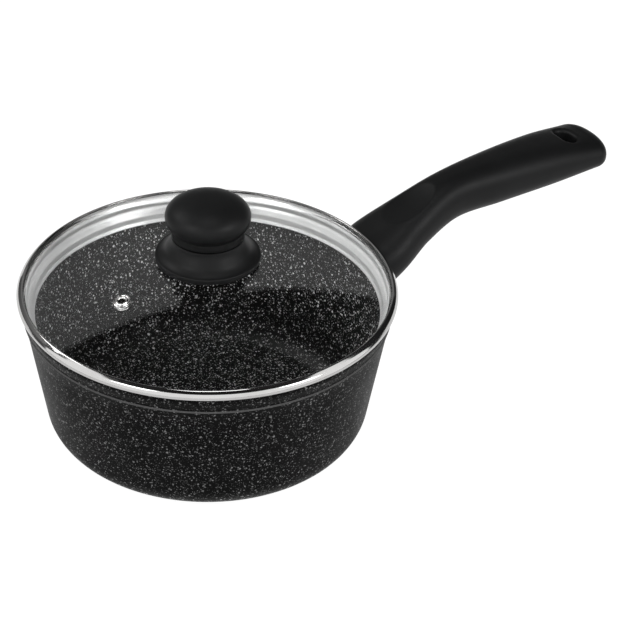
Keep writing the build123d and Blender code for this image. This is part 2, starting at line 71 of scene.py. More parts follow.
# ---------------------------------------------------------------- curves and surfaces
def smoothstep(t: np.ndarray) -> np.ndarray:
    """Ease from 0 to 1: three t squared less two t cubed, held flat outside 0 to 1."""
    t = np.clip(t, 0.0, 1.0)
    return t * t * (3.0 - 2.0 * t)


def hermite(start: tuple, end: tuple, leave: tuple, arrive: tuple, count: int) -> np.ndarray:
    """Cubic curve between two points with given end tangents.

    The tangents are scaled to the chord, so only their directions matter.

    Args:
        start: First (radius, height) point.
        end: Last (radius, height) point.
        leave: Direction at the start.
        arrive: Direction at the end.
        count: Number of points.

    Returns:
        Points of the curve, one per row.
    """
    a, b = np.array(start, float), np.array(end, float)
    chord = np.linalg.norm(b - a)
    m0 = np.array(leave, float) / np.linalg.norm(leave) * chord
    m1 = np.array(arrive, float) / np.linalg.norm(arrive) * chord
    t = np.linspace(0.0, 1.0, count)[:, None]
    return (
        (2 * t**3 - 3 * t**2 + 1) * a
        + (t**3 - 2 * t**2 + t) * m0
        + (3 * t**2 - 2 * t**3) * b
        + (t**3 - t**2) * m1
    )


def rounded(corners: list, steps: int = 5, closed: bool = True) -> np.ndarray:
    """Outline through corners, each rounded by a circular arc.

    Each arc is a rational quadratic curve whose middle weight is the sine of half the
    corner's inner angle, which makes it part of a circle.

    Args:
        corners: (radius, height, rounding) of each corner, in order.
        steps: Points along each arc.
        closed: Whether the last corner joins the first; if not, both ends stay sharp.

    Returns:
        Points of the outline, one per row.
    """
    table = np.array(corners, float)
    here, size = table[:, :2], table[:, 2]
    back, ahead = np.roll(here, 1, axis=0) - here, np.roll(here, -1, axis=0) - here
    back_len = np.linalg.norm(back, axis=1, keepdims=True)
    ahead_len = np.linalg.norm(ahead, axis=1, keepdims=True)
    back, ahead = back / back_len, ahead / ahead_len
    half = np.arccos(np.clip((back * ahead).sum(1), -1, 1)) / 2
    cut = size / np.maximum(np.tan(half), 1e-6)
    room = 0.49 * np.minimum(back_len, ahead_len)[:, 0]
    cut = np.minimum(cut, room)
    if not closed:
        cut[[0, -1]] = 0.0
    t = np.linspace(0.0, 1.0, steps)[None, :, None]
    weight = np.sin(half)[:, None, None]
    a = (here + back * cut[:, None])[:, None, :]
    b = (here + ahead * cut[:, None])[:, None, :]
    mid = here[:, None, :]
    w0, w1, w2 = (1 - t) ** 2, 2 * t * (1 - t) * weight, t**2
    arcs = (w0 * a + w1 * mid + w2 * b) / (w0 + w1 + w2)
    return distinct(arcs.reshape(-1, 2))


def distinct(points: np.ndarray) -> np.ndarray:
    """The same points without any that repeats the one before it."""
    gap = np.linalg.norm(np.diff(points, axis=0), axis=1)
    return points[np.concatenate([[True], gap > 1e-5])]


def along(x: np.ndarray, stations: np.ndarray, column: int) -> np.ndarray:
    """Smooth value of one column of a table of stations at distances x.

    Cubic spans meet with the slope of the chord through each station's neighbours, and the
    table goes on straight past both its ends.

    Args:
        x: Distances to read at.
        stations: Table whose first column is distance.
        column: Column to read.

    Returns:
        The values, in the shape of x.
    """
    xs, ys = stations[:, 0], stations[:, column]
    before = np.concatenate([[0], np.arange(len(xs) - 1)])
    after = np.concatenate([np.arange(1, len(xs)), [len(xs) - 1]])
    slope = (ys[after] - ys[before]) / (xs[after] - xs[before])
    k = np.clip(np.searchsorted(xs, x, side="right") - 1, 0, len(xs) - 2)
    span = xs[k + 1] - xs[k]
    free = (x - xs[k]) / span
    t = np.clip(free, 0.0, 1.0)
    inside = (
        (2 * t**3 - 3 * t**2 + 1) * ys[k]
        + (t**3 - 2 * t**2 + t) * span * slope[k]
        + (3 * t**2 - 2 * t**3) * ys[k + 1]
        + (t**3 - t**2) * span * slope[k + 1]
    )
    return inside + (free - t) * span * np.where(free < 0, slope[k], slope[k + 1])


class Shells:
    """Closed shells of one piece: their points in millimetres and their faces."""

    def __init__(self) -> None:
        """Start with no points."""
        self.points: list[np.ndarray] = []
        self.faces: list[np.ndarray] = []
        self.count = 0

    def put(self, points: np.ndarray) -> np.ndarray:
        """Add points and give back their numbers, in the shape the points came in."""
        flat = points.reshape(-1, 3)
        numbers = np.arange(self.count, self.count + len(flat))
        self.points.append(flat)
        self.count += len(flat)
        return numbers.reshape(points.shape[:-1])

    def skin(self, rows: np.ndarray, leave_out: np.ndarray | None = None) -> None:
        """Join rows of point numbers with four-sided faces; each row closes on itself.

        Args:
            rows: Point numbers, one closed row after another.
            leave_out: Which cells stay open, in the shape of the cells.
        """
        ahead = np.roll(rows, -1, axis=1)
        cells = np.stack([rows[:-1], ahead[:-1], ahead[1:], rows[1:]], axis=-1)
        kept = cells.reshape(-1, 4) if leave_out is None else cells[~leave_out]
        self.faces.append(kept.reshape(-1, 4))

    def cap(self, row: np.ndarray, middle: np.ndarray, turn: bool = False) -> None:
        """Close a row with triangles to one point; turn swaps which way they face."""
        centre = np.full(len(row), self.put(middle[None, :])[0])
        pair = (np.roll(row, -1), row) if turn else (row, np.roll(row, -1))
        self.faces.append(np.stack([pair[0], pair[1], centre, centre], axis=-1))

    def build(self, name: str, place: Matrix | None = None) -> bpy.types.Object:
        """Make the mesh object, its faces outwards and its flat breaks kept sharp.

        The sign of the enclosed volume, a third of the sum of each face's middle dotted
        with its area vector, says whether the faces have to be turned round.

        Args:
            name: Name of the piece.
            place: Where the shells go, in millimetres, if not where they were made.

        Returns:
            The new object, at the origin.
        """
        co = np.concatenate(self.points)
        if place is not None:
            spin = np.array(place.to_3x3())
            co = co @ spin.T + np.array(place.translation)
        quads = np.concatenate(self.faces)
        a, b, c, d = (co[quads[:, k]] for k in range(4))
        area = np.cross(c - a, d - b) / 2
        if ((a + b + c + d) / 4 * area).sum() < 0:
            quads = quads[:, ::-1]
        keep = np.ones_like(quads, bool)
        keep[:, 3] = quads[:, 3] != quads[:, 2]
        keep[:, 1] = quads[:, 1] != quads[:, 0]
        sizes = keep.sum(1)
        mesh = bpy.data.meshes.new(name)
        mesh.vertices.add(len(co))
        mesh.vertices.foreach_set("co", (co * MM).astype(np.float32).ravel())
        mesh.loops.add(int(sizes.sum()))
        mesh.loops.foreach_set("vertex_index", quads[keep].astype(np.int32))
        mesh.polygons.add(len(quads))
        starts = np.concatenate([[0], np.cumsum(sizes)[:-1]])
        mesh.polygons.foreach_set("loop_start", starts.astype(np.int32))
        mesh.polygons.foreach_set("use_smooth", np.ones(len(quads), bool))
        mesh.update(calc_edges=True)
        mesh.set_sharp_from_angle(angle=math.radians(38))
        mesh.validate()
        obj = bpy.data.objects.new(name, mesh)
        bpy.context.scene.collection.objects.link(obj)
        return obj


def spun(
    shells: Shells, outline: np.ndarray, steps: int, closed: bool, at: tuple = (0.0, 0.0, 0.0)
) -> None:
    """Carry an outline round an upright axis: (r, z) becomes (r cos a, r sin a, z).

    Args:
        shells: Where the surface goes.
        outline: (radius, height) points; an open one starts and ends on the axis.
        steps: How many times round.
        closed: Whether the outline is a loop.
        at: Where the axis stands.
    """
    angle = np.arange(steps) * 2 * math.pi / steps
    radius, height = outline[:, 0:1], outline[:, 1:2]
    points = np.stack(
        [radius * np.cos(angle), radius * np.sin(angle), height + 0 * angle], axis=-1
    ) + np.array(at)
    if closed:
        rows = shells.put(points)
        shells.skin(np.concatenate([rows, rows[:1]]))
        return
    rows = shells.put(points[1:-1])
    shells.skin(rows)
    shells.cap(rows[0], points[0, 0], turn=True)
    shells.cap(rows[-1], points[-1, 0])


def block_rim(row: int, column: int, down: int, across: int, columns: int) -> tuple:
    """Grid places round the edge of a block of cells, in order.

    Args:
        row: Middle row of the block.
        column: Middle column.
        down: Rows from the middle to the edge.
        across: Columns from the middle to the edge.
        columns: Columns of the whole grid, which closes on itself.

    Returns:
        The rows and the columns of the edge's places.
    """
    i = np.concatenate([
        np.full(2 * across, -down), np.arange(-down, down),
        np.full(2 * across, down), np.arange(down, -down, -1),
    ])
    j = np.concatenate([
        np.arange(-across, across), np.full(2 * down, across),
        np.arange(across, -across, -1), np.full(2 * down, -across),
    ])
    return row + i, (column + j) % columns


def block_cells(shape: tuple, row: int, column: int, down: int, across: int) -> np.ndarray:
    """Which cells of a grid lie in a block; the grid's columns close on themselves."""
    i, j = np.meshgrid(np.arange(shape[0] - 1), np.arange(shape[1]), indexing="ij")
    half = shape[1] // 2
    side = (j - column + half) % shape[1] - half
    return (i >= row - down) & (i < row + down) & (side >= -across) & (side < across)


def block_distance(shape: tuple, row: int, column: int, down: int, across: int) -> np.ndarray:
    """Distance of each grid place from a block's middle, 1 all along the block's edge."""
    i, j = np.meshgrid(np.arange(shape[0]), np.arange(shape[1]), indexing="ij")
    half = shape[1] // 2
    side = (j - column + half) % shape[1] - half
    return np.maximum(np.abs(i - row) / down, np.abs(side) / across)


def slot_reach(dx: np.ndarray, dy: np.ndarray, radius: float, straight: float) -> np.ndarray:
    """How far a ray from the middle of a round-ended slot runs to its edge.

    The slot lies along y.  Its straight sides are met at radius over |dx|, and past them the
    ray meets the end circle, whose middle is at the distance `straight`.

    Args:
        dx: The ray's x part, of a unit direction.
        dy: Its y part.
        radius: Half the slot's width.
        straight: Half the length of its straight sides.

    Returns:
        Distance along each ray.
    """
    ax, ay = np.abs(dx), np.abs(dy)
    side = radius / np.maximum(ax, 1e-9)
    end = straight * ay + np.sqrt(np.maximum(radius**2 - (straight * ax) ** 2, 0))
    return np.where(side * ay <= straight, side, end)


# ---------------------------------------------------------------- finishes
class Nodes:
    """Node tree of one material, with a Principled shader already on its output."""

    def __init__(self, name: str) -> None:
        """Make the material and its two last nodes."""
        self.material = bpy.data.materials.new(name)
        self.material.use_nodes = True
        self.tree = self.material.node_tree
        self.tree.nodes.clear()
        self.output = self.tree.nodes.new("ShaderNodeOutputMaterial")
        self.shader = self.tree.nodes.new("ShaderNodeBsdfPrincipled")
        self.tree.links.new(self.shader.outputs[0], self.output.inputs["Surface"])
        self.place = self.add("ShaderNodeTexCoord").outputs["Object"]

    def add(self, kind: str, settings: dict | None = None, **inputs: object) -> bpy.types.Node:
        """Add a node.

        Args:
            kind: Blender's name of the node type.
            settings: The node's own properties.
            **inputs: Its sockets by name, underscores for spaces; a number, a colour or
                another node's output.

        Returns:
            The new node.
        """
        node = self.tree.nodes.new(kind)
        for key, value in (settings or {}).items():
            setattr(node, key, value)
        for key, value in inputs.items():
            self.feed(node.inputs[key.replace("_", " ")], value)
        return node

    def feed(self, socket: bpy.types.NodeSocket, value: object) -> None:
        """Link an output to a socket, or set the socket's own value."""
        if isinstance(value, bpy.types.NodeSocket):
            self.tree.links.new(value, socket)
        else:
            socket.default_value = value

    def dress(self, **inputs: object) -> None:
        """Feed the Principled shader's sockets by name, underscores for spaces."""
        for key, value in inputs.items():
            self.feed(self.shader.inputs[key.replace("_", " ")], value)

    def sum(self, kind: str, a: object, b: object = 0.0, c: object = 0.0) -> bpy.types.NodeSocket:
        """Result of one Math node."""
        node = self.add("ShaderNodeMath", {"operation": kind})
        for socket, value in zip(node.inputs, (a, b, c)):
            self.feed(socket, value)
        return node.outputs[0]

    def spread(
        self, value: object, low: object, high: object, start: object, end: object
    ) -> bpy.types.NodeSocket:
        """Map a value smoothly from low..high to start..end, held at both ends."""
        node = self.add("ShaderNodeMapRange", {"interpolation_type": "SMOOTHSTEP"})
        for key, entry in zip(
            ("Value", "From Min", "From Max", "To Min", "To Max"), (value, low, high, start, end)
        ):
            self.feed(node.inputs[key], entry)
        return node.outputs["Result"]

    def noise(
        self, size: float, detail: float = 2.0, place: object = None, rough: float = 0.5
    ) -> bpy.types.Node:
        """Noise whose lumps are about `size` millimetres across."""
        return self.add(
            "ShaderNodeTexNoise", Vector=place or self.place, Scale=1 / (size * MM), Detail=detail,
            Roughness=rough,
        )

    def blend(self, share: object, first: object, second: object) -> bpy.types.NodeSocket:
        """Colour between two colours."""
        node = self.add("ShaderNodeMix", {"data_type": "RGBA"})
        self.feed(node.inputs[0], share)
        self.feed(node.inputs[6], first)
        self.feed(node.inputs[7], second)
        return node.outputs[2]

    def bump(self, height: object, depth: float, strength: float = 1.0) -> None:
        """Raise the surface by a height of 0 to 1 times a depth in millimetres."""
        node = self.add("ShaderNodeBump", Height=height, Distance=depth * MM, Strength=strength)
        self.dress(Normal=node.outputs[0])

    def ringed(self, across: float) -> bpy.types.NodeSocket:
        """Coordinates for marks that run round the Z axis and change quickly across it.

        The direction from the axis turns slowly and the height plus the radius is stretched,
        so a noise read there is drawn out into rings.

        Args:
            across: How many millimetres across one mark is.

        Returns:
            The coordinates.
        """
        parts = self.add("ShaderNodeSeparateXYZ", Vector=self.place).outputs
        x, y, z = parts[0], parts[1], parts[2]
        square = self.sum("ADD", self.sum("MULTIPLY", x, x), self.sum("MULTIPLY", y, y))
        radius = self.sum("MAXIMUM", self.sum("SQRT", square), 1e-5)
        level = self.sum("MULTIPLY", self.sum("ADD", z, radius), 1 / (across * MM))
        return self.add(
            "ShaderNodeCombineXYZ",
            X=self.sum("MULTIPLY", self.sum("DIVIDE", x, radius), 2.0),
            Y=self.sum("MULTIPLY", self.sum("DIVIDE", y, radius), 2.0),
            Z=level,
        ).outputs[0]


def grey(value: float, warm: float = 0.0) -> tuple:
    """A neutral colour, a little warmer or cooler."""
    return (value * (1 + warm), value, value * (1 - warm), 1.0)


@dataclass(frozen=True)
class Flecks:
    """One size of fleck in the stone coating: a cell, how many are filled, and how large."""

    cell: float
    share: float
    small: float
    large: float
    dim: float
    bright: float

    def mask(self, nodes: Nodes, place: bpy.types.NodeSocket) -> bpy.types.NodeSocket:
        """Brightness of these flecks: a spot round each filled cell's point, else nothing.

        Args:
            nodes: Tree to add to.
            place: Coordinates, already made uneven.

        Returns:
            A value of 0 to 1.
        """
        cells = nodes.add("ShaderNodeTexVoronoi", Vector=place, Scale=1 / (self.cell * MM))
        dice = nodes.add("ShaderNodeSeparateColor", Color=cells.outputs["Color"]).outputs
        radius = nodes.spread(dice[1], 0.0, 1.0, self.small, self.large)
        soft = nodes.sum("MULTIPLY", radius, 0.62)
        spot = nodes.spread(cells.outputs["Distance"], soft, radius, 1.0, 0.0)
        filled = nodes.sum("LESS_THAN", dice[0], self.share)
        light = nodes.spread(dice[2], 0.0, 1.0, self.dim, self.bright)
        return nodes.sum("MULTIPLY", nodes.sum("MULTIPLY", spot, filled), light)


@dataclass(frozen=True)
class StoneCoating:
    """Black non-stick coating sprayed with pale mineral flecks of three sizes, plus painted light: flecks
    dimmed as painted shade outside and on the floor, a painted glow on one side of the inner floor's corner,
    and a painted highlight line along the outer ledge.
    """

    name: str = "stone_coating"
    base: float = 0.0011
    # Painted shade: the outside's and the floor's flecks are dimmed against the inner wall's, for how the
    # light falls into the pan.
    shaded_outer_fleck: float = 0.16
    wall_fleck: float = 1.0
    shaded_floor_fleck: float = 0.42
    # Painted highlight: pale grey laid on one side of the inner floor's corner, standing in for a glow of
    # light.
    painted_corner_glow: float = 0.034
    wall_middle: float = 78.95
    taper: float = 0.174
    ledge: float = 69.85
    corner_radius: float = 70.5
    outside_from: float = 91.5
    # Painted highlight: grey of a light line along the outer ledge, standing in for a glint.
    ledge_painted_highlight: float = 0.085
    layers: tuple = (
        Flecks(0.85, 0.75, 0.20, 0.45, 0.10, 0.60),
        Flecks(1.40, 0.55, 0.20, 0.42, 0.30, 1.0),
        Flecks(2.6, 0.30, 0.14, 0.30, 0.5, 1.0),
    )

    def make(self) -> bpy.types.Material:
        """Build the material."""
        n = Nodes(self.name)
        warp = n.noise(0.9, 2.0)
        shift = n.add(
            "ShaderNodeVectorMath", {"operation": "SCALE"}, Vector=warp.outputs["Color"], Scale=0.9 * MM
        )
        place = n.add(
            "ShaderNodeVectorMath", {"operation": "ADD"}
        )
        n.feed(place.inputs[0], n.place)
        n.feed(place.inputs[1], shift.outputs[0])
        light = 0.0
        for layer in self.layers:
            light = n.sum("MAXIMUM", light, layer.mask(n, place.outputs[0]))
        clouds = n.noise(14.0, 4.0).outputs[0]
        ground = n.blend(
            n.spread(clouds, 0.3, 0.7, 0.0, 1.0), grey(self.base), grey(self.base * 2.2)
        )
        parts = n.add("ShaderNodeSeparateXYZ", Vector=n.place).outputs
        square = n.sum("ADD", n.sum("MULTIPLY", parts[0], parts[0]), n.sum("MULTIPLY", parts[1], parts[1]))
        radius = n.sum("SQRT", square)
        middle = n.sum("ADD", n.sum("MULTIPLY", parts[2], self.taper), self.wall_middle * MM)
        inside = n.sum("LESS_THAN", radius, middle)
        # Painted shade: inside, the flecks dim from the wall's brightness above 34 mm to the floor's below
        # 12 mm, and outside they are dimmed as a whole.
        up = n.spread(parts[2], 0.012, 0.034, self.shaded_floor_fleck, self.wall_fleck)
        tone = n.sum("MULTIPLY_ADD", inside, n.sum("SUBTRACT", up, self.shaded_outer_fleck), self.shaded_outer_fleck)
        tint = n.add("ShaderNodeCombineColor", Red=tone, Green=tone, Blue=tone).outputs[0]
        # Painted glow: the mask below marks a ring round the inner floor's corner, strongest on one side and
        # only low down, and lightens it towards a pale grey; it stands in for light, not for wear.
        corner = n.sum("ABSOLUTE", n.sum("SUBTRACT", radius, self.corner_radius * MM))
        band = n.sum("MULTIPLY", inside, n.spread(corner, 1.0 * MM, 6.5 * MM, 1.0, 0.0))
        side = n.spread(n.sum("SUBTRACT", parts[0], parts[1]), -0.03, 0.09, 0.12, 1.0)
        rub = n.sum("MULTIPLY", n.sum("MULTIPLY", band, side), n.spread(parts[2], 0.010, 0.018, 1.0, 0.0))
        ground = n.blend(rub, ground, grey(self.painted_corner_glow))
        colour = n.blend(light, ground, tint)
        # Painted highlight: a narrow light line round the outside at the ledge's height, standing in for the
        # glint on its rounded edge.
        away = n.sum("ABSOLUTE", n.sum("SUBTRACT", parts[2], self.ledge * MM))
        outside = n.sum("GREATER_THAN", radius, self.outside_from * MM)
        painted_ledge_glint = n.sum("MULTIPLY", n.spread(away, 0.25 * MM, 0.55 * MM, 0.8, 0.0), outside)
        colour = n.blend(painted_ledge_glint, colour, grey(self.ledge_painted_highlight))
        peel = n.noise(1.3, 3.0).outputs[0]
        worn = n.noise(38.0, 5.0, rough=0.65).outputs[0]
        rough = n.sum("ADD", n.spread(worn, 0.35, 0.7, 0.36, 0.46), n.sum("MULTIPLY", peel, 0.06))
        n.dress(Base_Color=colour, Roughness=rough, Specular_IOR_Level=0.03)
        n.bump(n.sum("ADD", peel, n.sum("MULTIPLY", light, 0.5)), 0.05, 0.6)
        return n.material


@dataclass(frozen=True)
class SatinPlastic:
    """Soft-touch black moulded plastic: a fine even grain, faint rub marks and a satin sheen."""

    name: str
    base: float = 0.005
    rough: float = 0.42
    grain: float = 0.35
    specular: float = 0.125

    def make(self) -> bpy.types.Material:
        """Build the material."""
        n = Nodes(self.name)
        clouds = n.noise(22.0, 4.0, rough=0.6).outputs[0]
        fine = n.noise(self.grain, 2.0).outputs[0]
        rub = n.noise(6.0, 6.0, rough=0.7).outputs[0]
        colour = n.blend(
            n.spread(clouds, 0.3, 0.7, 0.0, 1.0), grey(self.base, -0.03), grey(self.base * 1.25, -0.03)
        )
        rough = n.sum(
            "ADD", n.spread(rub, 0.3, 0.75, self.rough - 0.03, self.rough + 0.05),
            n.sum("MULTIPLY", fine, 0.04),
        )
        n.dress(Base_Color=colour, Roughness=rough, Specular_IOR_Level=self.specular)
        n.bump(fine, 0.012, 0.5)
        return n.material


@dataclass(frozen=True)
class SpunSteel:
    """Stainless steel turned and polished round an axis: fine rings, soft stains, light scratches, and below
    a given height a rougher satin finish whose pale, partly non-metal colour is a painted reflection.
    """

    name: str
    tone: float = 0.47
    rough: float = 0.09
    marks: float = 0.12
    scratch: float = 0.012
    satin_and_painted_reflection_below: float = -10.0

    def make(self) -> bpy.types.Material:
        """Build the material."""
        n = Nodes(self.name)
        lines = n.add(
            "ShaderNodeTexNoise", Vector=n.ringed(self.marks), Scale=1.0, Detail=3.0, Roughness=0.6
        ).outputs[0]
        stain = n.noise(17.0, 4.0, rough=0.6).outputs[0]
        colour = n.blend(
            n.spread(stain, 0.35, 0.75, 0.0, 1.0), grey(self.tone, 0.008), grey(self.tone * 0.93, 0.015)
        )
        rough = n.sum(
            "ADD", n.spread(lines, 0.3, 0.7, self.rough * 0.7, self.rough * 1.4),
            n.spread(stain, 0.5, 0.8, 0.0, 0.04),
        )
        # Below the given height: a real satin roughness, plus a pale, partly non-metal colour with ring
        # streaks, which is painted reflection of bright surroundings.
        height = n.add("ShaderNodeSeparateXYZ", Vector=n.place).outputs[2]
        level = self.satin_and_painted_reflection_below * MM
        satin = n.spread(height, level - 0.3 * MM, level + 0.1 * MM, 1.0, 0.0)
        rough = n.sum("MULTIPLY_ADD", satin, 0.24, rough)
        metal = n.sum("MULTIPLY_ADD", satin, -0.55, 1.0)
        colour = n.blend(satin, colour, n.blend(lines, grey(0.95), grey(0.75)))
        n.dress(Base_Color=colour, Metallic=metal, Roughness=rough)
        n.bump(lines, self.scratch, 0.25)
        return n.material


@dataclass(frozen=True)
class RawMetal:
    """Plain stamped or cast metal with a grainy surface and a satin shine."""

    name: str
    tone: float = 0.55
    rough: float = 0.34
    grain: float = 0.5
    depth: float = 0.03

    def make(self) -> bpy.types.Material:
        """Build the material."""
        n = Nodes(self.name)
        grain = n.noise(self.grain, 4.0, rough=0.65).outputs[0]
        stain = n.noise(9.0, 4.0).outputs[0]
        colour = n.blend(
            n.spread(stain, 0.3, 0.7, 0.0, 1.0), grey(self.tone, 0.01), grey(self.tone * 0.8, 0.02)
        )
        n.dress(
            Base_Color=colour, Metallic=1.0,
            Roughness=n.spread(grain, 0.25, 0.75, self.rough * 0.75, self.rough * 1.3),
        )
        n.bump(grain, self.depth, 0.5)
        return n.material


@dataclass(frozen=True)
class ClearGlass:
    """Tempered glass that lets lamps through, with the faint waves the tempering leaves."""

    name: str = "lid_glass_clear"
    tint: tuple = (0.982, 0.986, 0.984, 1.0)
    index: float = 1.5

    def make(self) -> bpy.types.Material:
        """Build the material."""
        n = Nodes(self.name)
        wave = n.noise(26.0, 1.0).outputs[0]
        smear = n.noise(11.0, 5.0, rough=0.6).outputs[0]
        n.dress(
            Base_Color=n.blend(n.spread(smear, 0.4, 0.8, 0.0, 1.0), self.tint, (0.972, 0.978, 0.975, 1.0)),
            Roughness=0.0, IOR=self.index, Transmission_Weight=1.0,
        )
        n.bump(wave, 0.02, 0.5)
        open_way = n.add("ShaderNodeBsdfTransparent", Color=(0.91, 0.915, 0.912, 1.0))
        lamp = n.add("ShaderNodeLightPath").outputs["Is Shadow Ray"]
        mix = n.add("ShaderNodeMixShader")
        n.feed(mix.inputs[0], lamp)
        n.feed(mix.inputs[1], n.shader.outputs[0])
        n.feed(mix.inputs[2], open_way.outputs[0])
        n.feed(n.output.inputs["Surface"], mix.outputs[0])
        return n.material


@dataclass(frozen=True)
class Silicone:
    """Dark grey silicone rubber with a matt, faintly dusty skin."""

    name: str = "silicone_rubber"
    tone: float = 0.03

    def make(self) -> bpy.types.Material:
        """Build the material."""
        n = Nodes(self.name)
        dust = n.noise(1.6, 5.0, rough=0.7).outputs[0]
        colour = n.blend(n.spread(dust, 0.45, 0.75, 0.0, 1.0), grey(self.tone), grey(self.tone * 2.0))
        n.dress(Base_Color=colour, Roughness=n.spread(dust, 0.3, 0.7, 0.48, 0.62), Specular_IOR_Level=0.4)
        n.bump(dust, 0.02, 0.4)
        return n.material


def wear(obj: bpy.types.Object, material: bpy.types.Material) -> None:
    """Give every slot of an object one material."""
    if not obj.material_slots:
        obj.data.materials.append(material)
    for slot in obj.material_slots:
        slot.material = material


def settle(obj: bpy.types.Object, body: Body, slot: Slot, material: bpy.types.Material, *nodes: str) -> None:
    """Finish a new piece: its material, the body it rides on and what it stands for.

    Args:
        obj: The piece.
        body: Body it moves with.
        slot: The record's slot for its finish; not used.
        material: What it wears.
        *nodes: CAD nodes that it replaces.
    """
    wear(obj, material)
    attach(obj, body.value)
    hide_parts(*nodes)
    LOG.info("%s rides on %s and stands for %s", obj.name, body.value, ", ".join(nodes))


def dress_node(name: str, material: bpy.types.Material) -> None:
    """Give a CAD node that stays as it is its material."""
    wear(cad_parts[name], material)
    LOG.info("%s keeps its shape and wears %s", name, material.name)


# ---------------------------------------------------------------- the pan
@dataclass
class Pan:
    """Cast body: tapered wall, flared rim band over a small ledge, and the induction base."""

    wall_base: float = 80.3
    taper: float = 0.174
    base_corner: float = 17.5
    floor_corner: float = 12.0
    floor: float = 4.5
    wall: float = 2.7
    flare: float = 60.0
    ledge: float = 70.0
    ledge_radius: float = 92.9
    ledge_step: float = 0.24
    rim_radius: float = 94.9
    rim: float = 78.0
    rim_round: float = 0.9
    plate_radius: float = 58.0
    plate_depth: float = 1.0
    peg_radius: float = 2.15
    peg_rings: tuple = ((18.0, 8), (33.0, 16), (48.0, 24))
    steps: int = 288

    def wall_at(self, height: float) -> float:
        """Outer radius of the straight wall at a height."""
        return self.wall_base + self.taper * height

    def corner(self, radius: float, level: float, wall_at_level: float) -> np.ndarray:
        """Arc from a level face into the tapered wall.

        The arc's middle stands off the wall by the radius times the tangent of half the turn,
        and its points are the middle plus the radius times (sin a, -cos a).

        Args:
            radius: The arc's radius.
            level: Height of the level face.
            wall_at_level: Radius at which the wall would meet that face.

        Returns:
            Points from the level face to the wall.
        """
        turn = math.pi / 2 - math.atan(self.taper)
        angle = np.linspace(0.0, turn, 18)
        middle = (wall_at_level - radius * math.tan(turn / 2), level + radius)
        return np.stack(
            [middle[0] + radius * np.sin(angle), middle[1] - radius * np.cos(angle)], axis=-1
        )

    def outside(self) -> np.ndarray:
        """Outline of the outside from the base to just under the rim, going up."""
        under = (self.ledge_radius + self.ledge_step, self.ledge - 0.25)
        over = (self.ledge_radius - self.ledge_step, self.ledge)
        flare = hermite((self.wall_at(self.flare), self.flare), under, (self.taper, 1), (0.32, 1), 14)
        ledge = rounded([
            (*flare[-2], 0.0), (*under, 0.2), (*over, 0.15), (over[0] + 0.03, over[1] + 0.5, 0.0),
        ], closed=False)
        band = hermite(ledge[-1], (self.rim_radius, self.rim - self.rim_round), (0.32, 1), (0.1, 1), 10)
        arc = self.corner(self.base_corner, 0.0, self.wall_base)
        wall = np.linspace(arc[-1], flare[0], 10)
        return distinct(np.concatenate([arc, wall, flare[:-1], ledge[1:], band]))

    def inside(self) -> np.ndarray:
        """Outline of the inside from the rim down to the middle of the floor."""
        top = (self.rim_radius - self.wall, self.rim - self.rim_round)
        shoulder = (self.ledge_radius - self.wall, self.ledge)
        low = (self.wall_at(self.flare) - self.wall, self.flare)
        arc = self.corner(self.floor_corner, self.floor, self.wall_at(self.floor) - self.wall)[::-1]
        return distinct(np.concatenate([
            hermite(top, shoulder, (-0.1, -1), (-0.32, -1), 8),
            hermite(shoulder, low, (-0.32, -1), (-self.taper, -1), 10),
            np.linspace(low, arc[0], 12),
            arc,
            np.linspace(arc[-1], (0.0, self.floor), 12),
        ]))

    def outline(self) -> np.ndarray:
        """Whole outline from the middle of the plate's pocket round to the floor's middle."""
        pocket = rounded([
            (0.0, self.plate_depth, 0.0), (self.plate_radius, self.plate_depth, 0.2),
            (self.plate_radius, 0.0, 0.25), (self.plate_radius + 1.0, 0.0, 0.0),
        ], closed=False)
        outside, inside = self.outside(), self.inside()
        lip = rounded([
            (*outside[-1], 0.0), (self.rim_radius, self.rim, self.rim_round),
            (self.rim_radius - self.wall, self.rim, self.rim_round), (*inside[0], 0.0),
        ], steps=7, closed=False)
        return distinct(np.concatenate([pocket, outside, lip[1:-1], inside]))

    def make_body(self) -> bpy.types.Object:
        """Body with the pegs that fill the holes of the plate, as low domed buttons."""
        shells = Shells()
        spun(shells, self.outline(), self.steps, closed=False)
        r, t = self.peg_radius, self.plate_depth
        button = np.array([
            (0.0, 0.03), (r * 0.55, 0.05), (r * 0.85, 0.13), (r, 0.32), (r, t + 0.1), (0.0, t + 0.1),
        ])
        for radius, count in self.peg_rings:
            for angle in np.arange(count) * 2 * math.pi / count:
                spot = (radius * math.cos(angle), radius * math.sin(angle), 0.0)
                spun(shells, button, 20, closed=False, at=spot)
        return shells.build("pan_body")

    def build(self) -> None:
        """Make and dress the pan, its plate and its bracket."""
        settle(self.make_body(), Body.PAN, Slot.COATING, StoneCoating().make(), "pan_shell")
        plate = SpunSteel("plate_steel", tone=0.5, rough=0.28, marks=0.35, scratch=0.08)
        dress_node("induction_plate", plate.make())
        dress_node("handle_bracket", RawMetal("bracket_steel", tone=0.48, rough=0.32).make())
        dress_node("bracket_studs", RawMetal("stud_aluminium", tone=0.66, rough=0.36).make())


